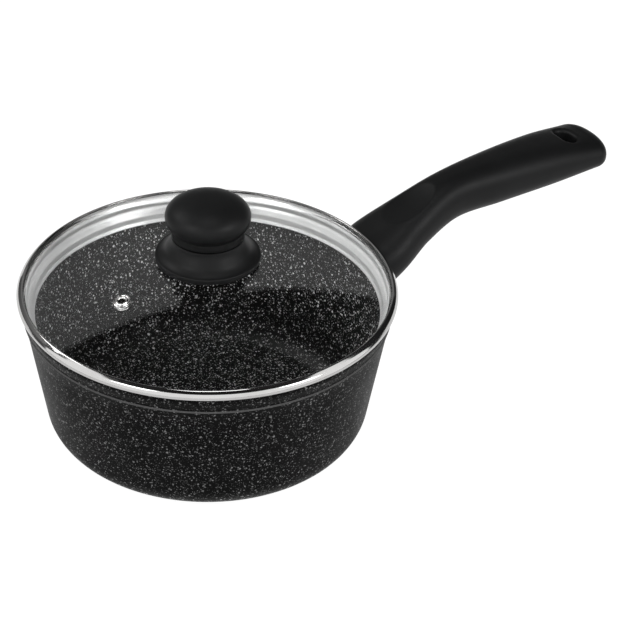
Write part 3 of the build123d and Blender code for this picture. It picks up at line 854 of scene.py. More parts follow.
# ---------------------------------------------------------------- the handle
@dataclass
class Handle:
    """Moulded grip: rounded sections along a rising line, a thumb dish and a hanging hole."""

    stations: tuple = (
        (76.0, 52.6, 18.6, 16.6),
        (92.0, 60.4, 19.6, 15.4),
        (108.0, 69.2, 20.6, 12.8),
        (126.0, 78.35, 16.5, 11.7),
        (150.0, 86.4, 13.1, 12.1),
        (180.0, 88.15, 15.4, 12.7),
        (215.0, 88.75, 17.8, 11.9),
        (241.5, 88.3, 18.7, 9.2),
    )
    power: float = 2.3
    end: tuple = (252.0, 87.9)
    end_power: float = 2.3
    gap: float = 0.6
    ring: float = 95.9
    hang_at: float = 230.8
    hang_radius: float = 4.6
    hang_straight: float = 2.5
    hang_round: float = 2.2
    thumb: tuple = (125.0, 91.2)
    thumb_lean: tuple = (-0.37, 0.93)
    thumb_radius: float = 68.0
    thumb_depth: float = 3.0
    thumb_soft: float = 0.12
    tongue_turn: float = 27.9
    screw_along: float = 24.0
    screw_radius: float = 4.9
    screw_shelf: float = 6.2
    pocket_depth: float = 3.6
    channel_end: float = 34.8
    channel_across: float = 7.3
    channel_up: float = 4.3
    channel_power: float = 8.0
    rows: int = 210
    columns: int = 144
    end_rows: int = 30

    def at(self, s: np.ndarray, a: np.ndarray, b: np.ndarray) -> np.ndarray:
        """Points of the grip's form.

        The section at the distance s is square to the centre line.  A point of it is the
        centre, plus a half widths across, plus b half heights up.

        Args:
            s: Distance of the section from the pan's axis.
            a: Share of the half width.
            b: Share of the half height.

        Returns:
            The points.
        """
        table = np.array(self.stations)
        middle, wide, high = (along(s, table, k) for k in (1, 2, 3))
        rise = (along(s + 1, table, 1) - along(s - 1, table, 1)) / 2
        length = np.sqrt(1 + rise**2)
        return np.stack([s - rise / length * high * b, wide * a, middle + high * b / length], axis=-1)

    def section(self) -> tuple:
        """Shares (a, b) round one section: cosine and sine to the power of 2 over 2.3."""
        angle = np.arange(self.columns) * 2 * math.pi / self.columns
        c, s = np.cos(angle), np.sin(angle)
        bend = 2 / self.power
        return np.sign(c) * np.abs(c) ** bend, np.sign(s) * np.abs(s) ** bend

    def root(self, a: np.ndarray, b: np.ndarray, pan: Pan) -> np.ndarray:
        """Distance at which each line along the grip comes out of the pan's wall.

        Halving steps close in on the place where the line is one gap outside the wall.

        Args:
            a: Share of the half width of each line.
            b: Share of the half height.
            pan: The pan it stands against.

        Returns:
            The distances.
        """
        wall = pan.outside()
        near, far = np.full(a.shape, 55.0), np.full(a.shape, 130.0)
        for _ in range(30):
            mid = (near + far) / 2
            p = self.at(mid, a, b)
            limit = np.where(
                p[..., 2] > pan.rim - 2.0, pan.rim_radius, np.interp(p[..., 2], wall[:, 1], wall[:, 0])
            )
            limit = np.where(p[..., 2] > pan.rim - self.gap, self.ring, limit)
            outside = np.hypot(p[..., 0], p[..., 1]) > limit + self.gap
            near, far = np.where(outside, near, mid), np.where(outside, mid, far)
        return far

    def opening(self, s: np.ndarray, a: np.ndarray, row: int, column: int, size: tuple, middle: float,
                reach: tuple, stretch: float) -> None:
        """Move grid places apart round an opening, so that its edge follows a rounded slot.

        A place on the edge of the block goes to the slot's edge in its own direction, and the
        shift fades out at three times the block's size.

        Args:
            s: Distances of the grid's places, changed in place.
            a: Their shares of the half width, changed in place.
            row: Middle row of the block.
            column: Middle column.
            size: Rows and columns from the middle of the block to its edge.
            middle: Distance of the slot's middle.
            reach: The slot's radius and half its straight side.
            stretch: Millimetres along the centre line for one of distance.
        """
        table = np.array(self.stations)
        away = block_distance(s.shape, row, column, *size)
        near = (away >= 1 - 1e-9) & (away < 3)
        wide = along(s, table, 2)
        dx, dy = (s - middle) * stretch, a * wide
        length = np.maximum(np.hypot(dx, dy), 1e-9)
        ux, uy = dx / length, dy / length
        edge = slot_reach(ux, uy, *reach) * (1 + (away - 1) * 0.9)
        share = smoothstep((away - 1) / 2)
        new = edge * (1 - share) + length * share
        moved = middle + ux * new / stretch
        s[near] = moved[near]
        a[near] = (uy * new)[near] / along(moved[near], table, 2)

    def dished(self, points: np.ndarray) -> np.ndarray:
        """Press a shallow round dish for the thumb into the top.

        A point above the ball that stands for the dish goes down onto it, and a root of the
        square of that depth plus a small square rounds off the dish's edge.

        Args:
            points: The grip's points.

        Returns:
            The points after the dish is pressed in.
        """
        lean = np.array([self.thumb_lean[0], 0.0, self.thumb_lean[1]])
        lean /= np.linalg.norm(lean)
        ball = np.array([self.thumb[0], 0.0, self.thumb[1]]) + lean * (self.thumb_radius - self.thumb_depth)
        q = points - ball
        on = q @ lean
        under = np.maximum(on**2 - (q**2).sum(-1) + self.thumb_radius**2, 0.0)
        depth = on + np.sqrt(under)
        soft = (depth + np.sqrt(depth**2 + self.thumb_soft**2)) / 2
        return points - soft[..., None] * lean

    def tongue_points(self, out: float, across: np.ndarray, up: np.ndarray) -> np.ndarray:
        """Points at a distance along the bracket's tongue, across it and above its middle."""
        turn = math.radians(self.tongue_turn)
        x0, z0 = self.stations[1][:2]
        return np.stack([
            x0 + out * math.cos(turn) - up * math.sin(turn), across + 0 * up,
            z0 + out * math.sin(turn) + up * math.cos(turn),
        ], axis=-1)

    def screw_points(self, radius: float, rise: float, direction: np.ndarray) -> np.ndarray:
        """Points of a circle round the screw, at a rise above the tongue's middle line."""
        turn = math.radians(self.tongue_turn)
        middle = self.tongue_points(self.screw_along, np.zeros(1), np.array([rise]))[0]
        along_x = np.array([math.cos(turn), 0.0, math.sin(turn)])
        across = np.array([0.0, 1.0, 0.0])
        return middle + radius * (direction[:, :1] * along_x + direction[:, 1:] * across)

    def make_grip(self, pan: Pan) -> bpy.types.Object:
        """The grip: outer skin, hanging hole, screw well, and the hollow at its root."""
        table = np.array(self.stations)
        a0, b0 = self.section()
        start = self.root(a0, b0, pan)
        share = np.linspace(0.0, 1.0, self.rows)[:, None]
        s = start + (table[-1, 0] - start) * share
        a, b = np.broadcast_to(a0, s.shape).copy(), np.broadcast_to(b0, s.shape).copy()
        top, low = self.columns // 4, 3 * self.columns // 4
        hang_size, well_size = (7, 8), (7, 5)
        hang_row = int(np.abs(s[:, top] - self.hang_at).argmin())
        well_at = table[1, 0] + self.screw_along * math.cos(math.radians(self.tongue_turn))
        well_row = int(np.abs(s[:, low] - well_at).argmin())
        wide_slot = (self.hang_radius + self.hang_round, self.hang_straight)
        for column in (top, low):
            self.opening(s, a, hang_row, column, hang_size, self.hang_at, wide_slot, 1.0)
        slope = 1 / math.cos(math.radians(self.tongue_turn))
        self.opening(s, a, well_row, low, well_size, well_at, (self.screw_radius + 0.6, 0.0), slope)
        full = (1 - np.minimum(np.abs(a), 1.0) ** self.power) ** (1 / self.power)
        near_hole = np.minimum(
            block_distance(s.shape, hang_row, top, *hang_size),
            block_distance(s.shape, hang_row, low, *hang_size),
        )
        near_hole = np.minimum(near_hole, block_distance(s.shape, well_row, low, *well_size))
        b = np.where(near_hole < 3, np.sign(b) * full, b)
        skin = self.dished(self.at(s, a, b))
        shells = Shells()
        rows = shells.put(skin)
        open_cells = block_cells(s.shape, hang_row, top, *hang_size)
        open_cells |= block_cells(s.shape, hang_row, low, *hang_size)
        open_cells |= block_cells(s.shape, well_row, low, *well_size)
        shells.skin(rows, open_cells)
        self.round_end(shells, rows[-1], a0, b0)
        self.line_hang_hole(shells, rows, skin, (hang_row, top, low), hang_size)
        self.line_screw_well(shells, rows, skin, (well_row, low), well_size)
        self.hollow_root(shells, rows[0], a0, b0, pan)
        return shells.build("handle_grip_skin")

    def round_end(self, shells: Shells, last: np.ndarray, a: np.ndarray, b: np.ndarray) -> None:
        """Close the far end: sections shrink by the 2.3-power rounding of a squarish end.

        Args:
            shells: Where the surface goes.
            last: Point numbers of the last row of the skin.
            a: Shares of the half width round a section.
            b: Shares of the half height.
        """
        x0, z0, wide, high = self.stations[-1]
        turn = np.linspace(0.0, math.pi / 2, self.end_rows + 1)[1:-1, None]
        bend = 2 / self.end_power
        share, shrink = np.sin(turn) ** bend, np.cos(turn) ** bend
        tilt = 0.035
        x = x0 + (self.end[0] - x0) * share + tilt * high * shrink * b
        z = z0 + (self.end[1] - z0) * share + high * shrink * b
        points = np.stack([x, wide * shrink * a, z], axis=-1)
        rows = shells.put(points)
        shells.skin(np.concatenate([last[None], rows]))
        shells.cap(rows[-1], np.array([self.end[0], 0.0, self.end[1]]))

    def line_hang_hole(
        self, shells: Shells, rows: np.ndarray, skin: np.ndarray, where: tuple, size: tuple
    ) -> None:
        """Line the hanging hole: a quarter round from the skin, a straight wall, and back.

        Args:
            shells: Where the surface goes.
            rows: Point numbers of the skin.
            skin: The skin's points.
            where: Row of the hole, and its columns on the top and underneath.
            size: Rows and columns from the middle of the block to its edge.
        """
        row, top, low = where
        i, j = block_rim(row, top, *size, self.columns)
        mirror = (low - (j - top)) % self.columns
        over, under = skin[i, j], skin[i, mirror]
        middle = np.array([self.hang_at, 0.0])
        ray = over[:, :2] - middle
        outer = np.linalg.norm(ray, axis=1, keepdims=True)
        ray = ray / outer
        inner = slot_reach(ray[:, 0], ray[:, 1], self.hang_radius, self.hang_straight)[:, None]
        angle = np.radians([18, 36, 54, 72, 90])[:, None]

        def lip(edge: np.ndarray, way: float) -> np.ndarray:
            """Quarter round that leads from the skin into the hole."""
            r = inner[:, 0] + (outer - inner)[:, 0] * (1 - np.sin(angle))
            z = edge[:, 2] + way * self.hang_round * (1 - np.cos(angle))
            return np.stack([middle[0] + ray[:, 0] * r, middle[1] + ray[:, 1] * r, z], axis=-1)

        down, up = lip(over, -1.0), lip(under, 1.0)
        t = np.linspace(0, 1, 6)[1:-1, None, None]
        wall = down[-1] * (1 - t) + up[-1] * t
        lining = shells.put(np.concatenate([down, wall, up[::-1]]))
        shells.skin(np.concatenate([rows[i, j][None], lining, rows[i, mirror][None]]))

    def line_screw_well(
        self, shells: Shells, rows: np.ndarray, skin: np.ndarray, where: tuple, size: tuple
    ) -> None:
        """Line the well for the screw: rounded mouth, wall, shelf, and a blind hole above.

        Args:
            shells: Where the surface goes.
            rows: Point numbers of the skin.
            skin: The skin's points.
            where: Row and column of the well.
            size: Rows and columns from the middle of the block to its edge.
        """
        row, column = where
        i, j = block_rim(row, column, *size, self.columns)
        turn = math.radians(self.tongue_turn)
        up = np.array([-math.sin(turn), 0.0, math.cos(turn)])
        out = np.array([math.cos(turn), 0.0, math.sin(turn)])
        middle = self.tongue_points(self.screw_along, np.zeros(1), np.zeros(1))[0]
        mouth = skin[i, j] - middle
        level = mouth @ up
        ray = np.stack([mouth @ out, mouth[:, 1]], axis=-1)
        ray /= np.linalg.norm(ray, axis=1, keepdims=True)
        neck = [self.screw_points(self.screw_radius + 0.25, 0.0, ray) + (level + 0.15)[:, None] * up]
        neck.append(self.screw_points(self.screw_radius, 0.0, ray) + (level + 0.6)[:, None] * up)
        deep = ((self.screw_radius, -self.screw_shelf - 1.5), (self.screw_radius, -self.screw_shelf - 0.2),
                (self.screw_radius - 0.2, -self.screw_shelf), (2.9, -self.screw_shelf), (2.8, -4.6))
        well = [self.screw_points(radius, rise, ray) for radius, rise in deep]
        lining = shells.put(np.stack(neck + well))
        shells.skin(np.concatenate([rows[i, j][None], lining]))
        shells.cap(lining[-1], middle - 4.6 * up)

    def hollow_root(self, shells: Shells, first: np.ndarray, a: np.ndarray, b: np.ndarray, pan: Pan) -> None:
        """Close the root: a lip along the wall, a pocket over the bracket and the tongue's channel.

        Args:
            shells: Where the surface goes.
            first: Point numbers of the skin's first row.
            a: Shares of the half width round a section.
            b: Shares of the half height.
            pan: The pan it stands against.
        """
        lip = 0.86
        edge = self.root(a * lip, b * lip, pan)
        angle = np.arange(self.columns) * 2 * math.pi / self.columns
        bend = 2 / self.channel_power
        across = self.channel_across * np.sign(np.cos(angle)) * np.abs(np.cos(angle)) ** bend
        up = self.channel_up * np.sign(np.sin(angle)) * np.abs(np.sin(angle)) ** bend
        loops = np.stack([
            self.at(edge, a * lip, b * lip),
            self.at(edge + self.pocket_depth, a * lip, b * lip),
            self.tongue_points(self.pocket_depth, across, up),
            self.tongue_points(self.channel_end, across, up),
        ])
        inner = shells.put(loops)
        shells.skin(np.concatenate([inner[::-1], first[None]]))
        tip = self.tongue_points(self.channel_end, np.zeros(1), np.zeros(1))[0]
        shells.cap(inner[-1], tip, turn=True)

    def build(self, pan: Pan) -> None:
        """Make and dress the grip, its screw and its washer."""
        plastic = SatinPlastic("grip_plastic")
        settle(self.make_grip(pan), Body.PAN, Slot.GRIP, plastic.make(), "handle_grip")
        screw = RawMetal("handle_screw_steel", tone=0.5, rough=0.26, grain=0.3)
        dress_node("handle_screw", screw.make())
        dress_node("handle_washer", RawMetal("washer_steel", tone=0.42, rough=0.38).make())


# ---------------------------------------------------------------- the lid
@dataclass
class Lid:
    """Domed glass held by a rolled steel rim whose skirt drops inside the pan."""

    crown: float = 100.3
    dome: float = 246.8
    thick: float = 3.2
    edge: float = 93.5
    edge_round: float = 0.8
    middle_hole: float = 4.0
    vent_at: float = 54.0
    vent_turn: float = -174.0
    vent_hole: float = 3.4
    ring: float = 95.9
    seat: float = 78.0
    lip: float = 92.5
    sheet: float = 0.5
    skirt_top: float = 91.9
    knee: tuple = (89.2, 71.4)
    foot: tuple = (87.7, 67.2)
    rows: int = 72
    steps: int = 300
    rim_steps: int = 320

    def height(self, radius: float | np.ndarray) -> float | np.ndarray:
        """Height of the dome's upper face: the crown less the sag of a sphere."""
        return self.crown - (self.dome - np.sqrt(self.dome**2 - np.square(radius)))

    def face(self, drop: float, block: tuple, hole_shift: float) -> np.ndarray:
        """One face of the dome as rings from the middle hole outwards.

        Rings (r cos a, r sin a, dome height less the drop) are pushed apart round the vent:
        the edge of a block of cells becomes a circle, and the push fades out at three times
        the block's size.

        Args:
            drop: How far under the upper face it lies.
            block: Middle row of the vent's block, and its rows and columns to the edge.
            hole_shift: How far the hole's middle moves out, because it is square to the dome.

        Returns:
            The face's points.
        """
        radius = np.linspace(self.middle_hole, self.edge - self.edge_round, self.rows + 1)[:, None]
        turn = math.radians(self.vent_turn)
        angle = turn + np.arange(self.steps) * 2 * math.pi / self.steps
        x, y = radius * np.cos(angle), radius * np.sin(angle)
        cx, cy = (self.vent_at + hole_shift) * math.cos(turn), (self.vent_at + hole_shift) * math.sin(turn)
        dx, dy = x - cx, y - cy
        length = np.maximum(np.hypot(dx, dy), 1e-9)
        away = block_distance(x.shape, block[0], 0, *block[1:])
        share = smoothstep((away - 1) / 2)
        new = self.vent_hole * away * (1 - share) + length * share
        near = (away >= 1 - 1e-9) & (away < 3)
        x = np.where(near, cx + dx / length * new, x)
        y = np.where(near, cy + dy / length * new, y)
        return np.stack([x, y, self.height(np.hypot(x, y)) - drop], axis=-1)

    def make_glass(self) -> bpy.types.Object:
        """The dome: both faces, a pencil-ground edge, the middle hole and the vent's hole."""
        pitch = (self.edge - self.edge_round - self.middle_hole) / self.rows
        row = round((self.vent_at - self.middle_hole) / pitch)
        block = (row, 3, 3)
        lean = self.vent_at / self.dome
        top = self.face(0.0, block, 0.0)
        low = self.face(self.thick, block, -self.thick * lean)
        turn = np.linspace(0, math.pi, 9)[1:-1, None]
        angle = math.radians(self.vent_turn) + np.arange(self.steps) * 2 * math.pi / self.steps
        r = self.edge - self.edge_round + self.edge_round * np.sin(turn)
        z = self.height(self.edge - self.edge_round) - self.thick / 2 * (1 - np.cos(turn))
        ground = np.stack([r * np.cos(angle), r * np.sin(angle), z + 0 * angle], axis=-1)
        shells = Shells()
        upper, edge, lower = shells.put(top), shells.put(ground), shells.put(low)
        rows = np.concatenate([upper, edge, lower[::-1], upper[:1]])
        open_cells = block_cells(rows.shape, row, 0, 3, 3)
        under_row = len(upper) + len(edge) + self.rows - row
        open_cells |= block_cells(rows.shape, under_row, 0, 3, 3)
        shells.skin(rows, open_cells)
        i, j = block_rim(row, 0, 3, 3, self.steps)
        shells.skin(np.stack([upper[i, j], lower[i, j]]))
        return shells.build("lid_glass_dome")

    def make_rim(self) -> bpy.types.Object:
        """The rolled ring: a crowned band, a rolled-over lip, a flat seat and a stepped skirt."""
        t = self.sheet
        lip_z = float(self.height(self.lip))
        (kr, kz), (fr, fz) = self.knee, self.foot
        outline = rounded([
            (self.skirt_top, self.seat, 0.3),
            (self.ring - 1.0, self.seat, 0.5),
            (self.ring - 0.1, self.seat + 0.9, 0.8),
            (self.ring, self.seat + 2.0, 1.5),
            (self.ring - 0.95, self.seat + 3.6, 2.2),
            (93.5, 82.75, 1.2),
            (self.lip + 0.45, 82.92, 0.5),
            (self.lip, lip_z + 0.35, 0.2),
            (self.lip, lip_z + 0.05, 0.05),
            (93.3, 82.75 - t, 0.4),
            (self.ring - 0.95 - t * 0.8, self.seat + 3.6 - t * 0.7, 1.0),
            (self.ring - t, self.seat + 1.9, 0.8),
            (self.ring - t - 0.1, self.seat + t, 0.3),
            (self.skirt_top - t, self.seat + t, 0.4),
            (self.skirt_top - t - 1.3, self.seat - 1.3, 0.8),
            (self.skirt_top - t - 1.5, self.seat - 3.3, 1.0),
            (kr - t + 0.3, kz + 2.2, 0.8),
            (kr - t - 0.9, kz, 0.8),
            (fr - t + 0.1, fz + 1.8, 0.8),
            (fr - t - 0.7, fz + 0.4, 0.3),
            (fr - t - 0.6, fz, 0.2),
            (fr - 0.2, fz + 0.3, 0.2),
            (fr + 0.5, fz + 1.6, 0.8),
            (kr - 0.5, kz - 0.2, 0.8),
            (kr + 0.75, kz + 2.0, 0.8),
            (self.skirt_top - 1.1, self.seat - 3.3, 1.0),
            (self.skirt_top - 0.9, self.seat - 1.5, 0.8),
        ], steps=6)
        shells = Shells()
        spun(shells, outline, self.rim_steps, closed=True)
        return shells.build("lid_rim_ring")

    def build(self) -> None:
        """Make and dress the glass and its rim."""
        settle(self.make_glass(), Body.LID, Slot.GLASS, ClearGlass().make(), "lid_glass")
        # The skirt below the seat gets a satin finish and a painted reflection in its colour.
        steel = SpunSteel("rim_steel", satin_and_painted_reflection_below=self.seat - 0.2)
        settle(self.make_rim(), Body.LID, Slot.RIM, steel.make(), "lid_rim")
        dress_node("glass_edge_seal", Silicone("edge_seal_silicone").make())


@dataclass
class Vent:
    """Steel eyelet through the glass, with its bush and washer."""

    bore: float = 1.8
    tube: float = 2.6
    flange: float = 4.4

    def place(self, lid: Lid) -> Matrix:
        """Where the eyelet stands: on the dome, square to it."""
        lean = math.asin(lid.vent_at / lid.dome)
        spot = Vector((lid.vent_at, 0.0, float(lid.height(lid.vent_at))))
        turn = Matrix.Rotation(math.radians(lid.vent_turn), 4, "Z")
        return turn @ Matrix.Translation(spot) @ Matrix.Rotation(lean, 4, "Y")

    def make_eyelet(self, lid: Lid) -> bpy.types.Object:
        """Eyelet with a flat flange, a groove and a rolled crown round its bore."""
        outline = rounded([
            (self.bore, 0.62, 0.35),
            (self.bore, -lid.thick - 1.2, 0.2),
            (self.bore + 0.35, -lid.thick - 1.65, 0.15),
            (self.tube + 0.5, -lid.thick - 1.55, 0.2),
            (self.tube, -lid.thick - 1.15, 0.15),
            (self.tube, 0.34, 0.1),
            (self.flange, 0.34, 0.1),
            (self.flange, 0.6, 0.15),
            (self.flange - 0.45, 0.84, 0.25),
            (3.6, 0.52, 0.2),
            (3.3, 0.52, 0.2),
            (2.9, 1.02, 0.35),
            (2.25, 1.08, 0.35),
        ], steps=6)
        shells = Shells()
        spun(shells, outline, 72, closed=True)
        return shells.build("vent_eyelet_ring", self.place(lid))

    def build(self, lid: Lid) -> None:
        """Make and dress the eyelet, its bush and its washer."""
        steel = RawMetal("eyelet_steel", tone=0.8, rough=0.09, grain=0.4, depth=0.002)
        settle(self.make_eyelet(lid), Body.LID, Slot.EYELET, steel.make(), "vent_eyelet")
        dress_node("vent_gasket", Silicone("vent_bush_silicone").make())
        dress_node("vent_washer", RawMetal("vent_washer_steel", tone=0.6, rough=0.2, grain=0.25).make())


@dataclass
class Knob:
    """Flattened ball on a neck, over a flared foot, drawn down by a hidden screw."""

    ball: float = 21.5
    ball_at: float = 123.0
    up: float = 10.4
    down: float = 12.5
    neck: float = 18.2
    seam: float = 112.0
    gap: float = 0.7
    foot: float = 26.5
    foot_rim: float = 2.8
    waist: tuple = (21.2, 105.2)
    waist_lean: tuple = (-0.62, 1)
    pocket: float = 4.0
    pocket_top: float = 121.0
    steps: int = 160

    def make_cap(self) -> bpy.types.Object:
        """Cap: half ellipses above and below the widest part, then the neck and the pocket.

        The upper half is (ball cos a, ball_at + up sin a); the lower half uses `down` and
        stops where it meets the neck.
        """
        over = np.linspace(math.pi / 2, 0.0, 34)
        upper = np.stack([self.ball * np.cos(over), self.ball_at + self.up * np.sin(over)], axis=-1)
        upper[0, 0] = 0.0
        stop = math.acos(self.neck / self.ball)
        under = np.linspace(0.0, stop, 14)[1:]
        lower = np.stack([self.ball * np.cos(under), self.ball_at - self.down * np.sin(under)], axis=-1)
        low = self.seam + self.gap / 2
        rest = rounded([
            (*lower[-2], 0.0), (self.neck, lower[-1][1] - 0.1, 0.35), (self.neck, low, 0.5),
            (self.pocket, low, 0.2), (self.pocket, self.pocket_top, 0.2), (0.0, self.pocket_top, 0.0),
        ], closed=False)
        shells = Shells()
        spun(shells, distinct(np.concatenate([upper, lower[:-1], rest[1:]])), self.steps, closed=False)
        return shells.build("knob_ball")

    def make_base(self, lid: Lid) -> bpy.types.Object:
        """Foot: a thin upright rim, a hollow curve up to the seam, and an empty inside."""
        seam = self.seam - self.gap / 2
        foot = float(lid.height(self.foot)) + 0.05
        rim_top = foot + self.foot_rim
        crown = float(lid.height(0.0))
        inner_foot = self.foot - 3.0
        inner_z = float(lid.height(inner_foot)) + 0.05
        sweep = np.concatenate([
            hermite((self.foot - 0.9, rim_top), self.waist, (-1, 0.42), self.waist_lean, 14),
            hermite(self.waist, (self.neck, seam - 0.6), self.waist_lean, (-0.1, 1), 12)[1:],
        ])
        head = rounded([
            (*sweep[-2], 0.0), (self.neck, seam, 0.5), (self.neck - 2.2, seam, 0.2),
            (self.neck - 2.2, self.seam + 0.3, 0.1), (2.8, self.seam + 0.3, 0.2), (2.8, crown + 1.6, 0.2),
            (8.0, crown + 1.6, 0.2), (9.5, seam - 3.0, 0.5), (self.neck - 3.5, seam - 3.0, 1.0),
            (inner_foot, inner_z, 0.2), (self.foot, foot, 0.5), (self.foot, rim_top, 0.8),
            (*sweep[1], 0.0),
        ], closed=False)
        shells = Shells()
        spun(shells, distinct(np.concatenate([sweep[1:-1], head[1:-1]])), self.steps, closed=True)
        return shells.build("knob_foot")

    def build(self, lid: Lid) -> None:
        """Make and dress the knob's cap, foot and fixings."""
        plastic = SatinPlastic("knob_plastic").make()
        settle(self.make_cap(), Body.LID, Slot.KNOB, plastic, "knob_cap")
        settle(self.make_base(lid), Body.LID, Slot.KNOB, plastic, "knob_base")
        screw = RawMetal("knob_screw_steel", tone=0.55, rough=0.22, grain=0.25).make()
        dress_node("knob_insert", screw)
        dress_node("knob_screw", screw)
        dress_node("knob_washer", RawMetal("knob_washer_steel", tone=0.6, rough=0.24).make())
        rubber = Silicone("knob_pad_silicone").make()
        dress_node("knob_inner_gasket", rubber)
        dress_node("knob_outer_gasket", rubber)


# ---------------------------------------------------------------- floor, light and camera
def bearing(azimuth: float, elevation: float) -> Vector:
    """Unit vector to a direction, in degrees round from the handle and above the horizon."""
    a, e = math.radians(azimuth), math.radians(elevation)
    return Vector((math.cos(a) * math.cos(e), math.sin(a) * math.cos(e), math.sin(e)))


@dataclass
class Softbox:
    """Rectangular soft light that faces the pan."""

    name: str
    azimuth: float
    elevation: float
    distance: float
    width: float
    height: float
    radiance: float

    def build(self) -> None:
        """Make the light; its power is its radiance times pi times its area."""
        data = bpy.data.lights.new(self.name, "AREA")
        data.shape = "RECTANGLE"
        data.size, data.size_y = self.width, self.height
        data.energy = self.radiance * math.pi * self.width * self.height
        obj = bpy.data.objects.new(self.name, data)
        bpy.context.scene.collection.objects.link(obj)
        toward = bearing(self.azimuth, self.elevation)
        obj.location = Vector((0, 0, 0.07)) + toward * self.distance
        obj.rotation_mode = "QUATERNION"
        obj.rotation_quaternion = toward.to_track_quat("Z", "Y")
        obj.visible_camera = False


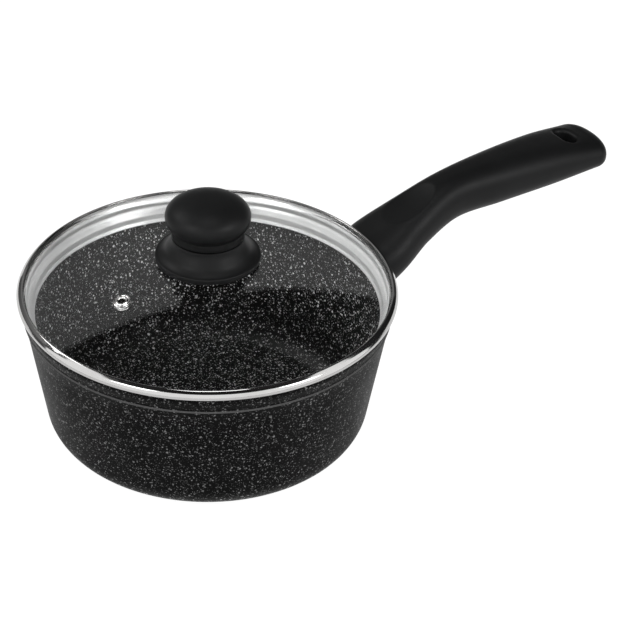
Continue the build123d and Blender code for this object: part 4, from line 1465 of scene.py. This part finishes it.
@dataclass
class Studio:
    """Pale floor, a round bright screen behind, a white wall in front, and soft boxes."""

    screen_azimuth: float = 77.0
    screen_half_width: float = 60.0
    screen_top: float = 52.3
    screen_distance: float = 4.0
    screen_level: float = 0.1
    screen_low: float = 0.09
    screen_high: float = 0.36
    ambient: float = 0.02
    front_azimuth: float = -123.0
    front_half_width: float = 100.0
    front_low: float = 4.0
    front_high: float = 52.0
    front_glow: float = 1.45
    boxes: tuple = (
        Softbox("left_back_box", 122.0, 44.0, 1.6, 0.5, 0.5, 7.0),
        Softbox("left_front_box", 190.0, 42.0, 1.5, 0.5, 0.5, 6.0),
        Softbox("right_front_box", -66.0, 34.0, 1.6, 0.5, 0.5, 9.0),
        Softbox("top_box", -110.0, 84.0, 1.4, 0.5, 0.5, 4.0),
    )

    def floor(self) -> None:
        """A wide level sheet, a hair under the pan, that glows a little so it stays pale."""
        side = np.linspace(-8.0, 8.0, 9)
        x, y = np.meshgrid(side, side, indexing="ij")
        self.sheet("floor", np.stack([x, y, np.full_like(x, -0.0003)], axis=-1))
        n = Nodes("pale_floor")
        mottle = n.noise(60.0, 3.0).outputs[0]
        n.dress(
            Base_Color=n.blend(mottle, grey(0.10), grey(0.105)), Roughness=0.9, Specular_IOR_Level=0.0,
            Emission_Color=grey(1.0), Emission_Strength=0.97,
        )
        wear(bpy.data.objects["floor"], n.material)

    def screen(self) -> None:
        """Round bright screen behind the pan, dimmer towards its foot.

        A point is one distance from the middle, in the direction whose azimuth is the screen's
        plus its half width times p cos q, and whose elevation is its top times p sin q.
        """
        p = np.linspace(0.02, 1.0, 40)[:, None]
        q = np.linspace(0.0, 2 * math.pi, 97)[None, :]
        azimuth = np.radians(self.screen_azimuth + self.screen_half_width * p * np.cos(q))
        elevation = np.radians(self.screen_top * p * np.sin(q))
        points = self.screen_distance * np.stack([
            np.cos(azimuth) * np.cos(elevation), np.sin(azimuth) * np.cos(elevation), np.sin(elevation),
        ], axis=-1) + np.array([0.0, 0.0, self.screen_level])
        obj = self.sheet("bright_screen", points)
        n = Nodes("screen_glow")
        height = n.add("ShaderNodeSeparateXYZ", Vector=n.place).outputs[2]
        glow = n.add("ShaderNodeEmission", Color=grey(1.0), Strength=n.spread(
            height, -0.1, self.screen_distance * 0.8, self.screen_low, self.screen_high))
        n.feed(n.output.inputs["Surface"], glow.outputs[0])
        wear(obj, n.material)
        obj.visible_camera = False
        obj.visible_shadow = False

    def front(self) -> None:
        """Curved white wall round the front and both sides, which the steel and plastic mirror.

        A point is one distance from the middle, in the direction of its azimuth and elevation.
        """
        azimuth = np.radians(np.linspace(-1, 1, 61) * self.front_half_width + self.front_azimuth)[:, None]
        elevation = np.radians(np.linspace(self.front_low, self.front_high, 15))[None, :]
        points = self.screen_distance * np.stack([
            np.cos(azimuth) * np.cos(elevation), np.sin(azimuth) * np.cos(elevation),
            np.sin(elevation) + 0 * azimuth,
        ], axis=-1)
        obj = self.sheet("front_wall", points)
        n = Nodes("front_glow")
        glow = n.add("ShaderNodeEmission", Color=grey(1.0), Strength=self.front_glow)
        n.feed(n.output.inputs["Surface"], glow.outputs[0])
        wear(obj, n.material)
        obj.visible_camera = False
        obj.visible_shadow = False

    def sheet(self, name: str, grid: np.ndarray) -> bpy.types.Object:
        """Open sheet from a grid of points in metres."""
        rows, columns = grid.shape[:2]
        ids = np.arange(rows * columns).reshape(rows, columns)
        cells = np.stack([ids[:-1, :-1], ids[:-1, 1:], ids[1:, 1:], ids[1:, :-1]], axis=-1)
        mesh = bpy.data.meshes.new(name)
        mesh.from_pydata(grid.reshape(-1, 3).tolist(), [], cells.reshape(-1, 4).tolist())
        mesh.update()
        obj = bpy.data.objects.new(name, mesh)
        bpy.context.scene.collection.objects.link(obj)
        return obj

    def build(self) -> None:
        """Make the floor, the screen, the boxes and the dim room round them."""
        self.floor()
        self.screen()
        self.front()
        for box in self.boxes:
            box.build()
        world = bpy.data.worlds.new("room")
        world.use_nodes = True
        world.node_tree.nodes["Background"].inputs[0].default_value = grey(1.0)
        world.node_tree.nodes["Background"].inputs[1].default_value = self.ambient
        bpy.context.scene.world = world
        bpy.context.scene.view_settings.view_transform = "Standard"


@dataclass
class View:
    """Camera that looks down on the pan from in front, the handle going off to the right."""

    target: tuple = (0.0, 0.0, 0.075)
    distance: float = 1.3
    azimuth: float = -33.0
    elevation: float = 33.128
    roll: float = 0.12
    pan: float = -2.326
    tilt: float = -0.3386
    lens: float = 148.4

    def build(self) -> None:
        """Place the camera: look at the target, then turn right and down a little."""
        data = bpy.data.cameras.new("camera")
        data.sensor_width = 36.0
        data.lens = self.lens
        data.clip_start, data.clip_end = 0.01, 50.0
        obj = bpy.data.objects.new("camera", data)
        bpy.context.scene.collection.objects.link(obj)
        a, e = math.radians(self.azimuth), math.radians(self.elevation)
        back = Vector((math.sin(a) * math.cos(e), -math.cos(a) * math.cos(e), math.sin(e)))
        obj.location = Vector(self.target) + back * self.distance
        right = Vector((math.cos(a), math.sin(a), 0.0))
        up = back.cross(right)
        spin = Matrix.Rotation(math.radians(self.pan), 3, up)
        side = spin @ right
        spin = Matrix.Rotation(math.radians(self.tilt), 3, side) @ spin
        back, up, right = spin @ back, spin @ up, spin @ right
        spin = Matrix.Rotation(math.radians(self.roll), 3, back)
        up, right = spin @ up, spin @ right
        obj.rotation_mode = "QUATERNION"
        obj.rotation_quaternion = Matrix((right, up, back)).transposed().to_quaternion()
        bpy.context.scene.camera = obj


def main() -> None:
    """Build the camera, the sub-assemblies and the studio, in order."""
    logging.basicConfig(level=logging.INFO, format="%(name)s: %(message)s")
    View().build()
    pan, lid = Pan(), Lid()
    pan.build()
    Handle().build(pan)
    lid.build()
    Vent().build(lid)
    Knob().build(lid)
    Studio().build()


if __name__ == "__main__":
    main()
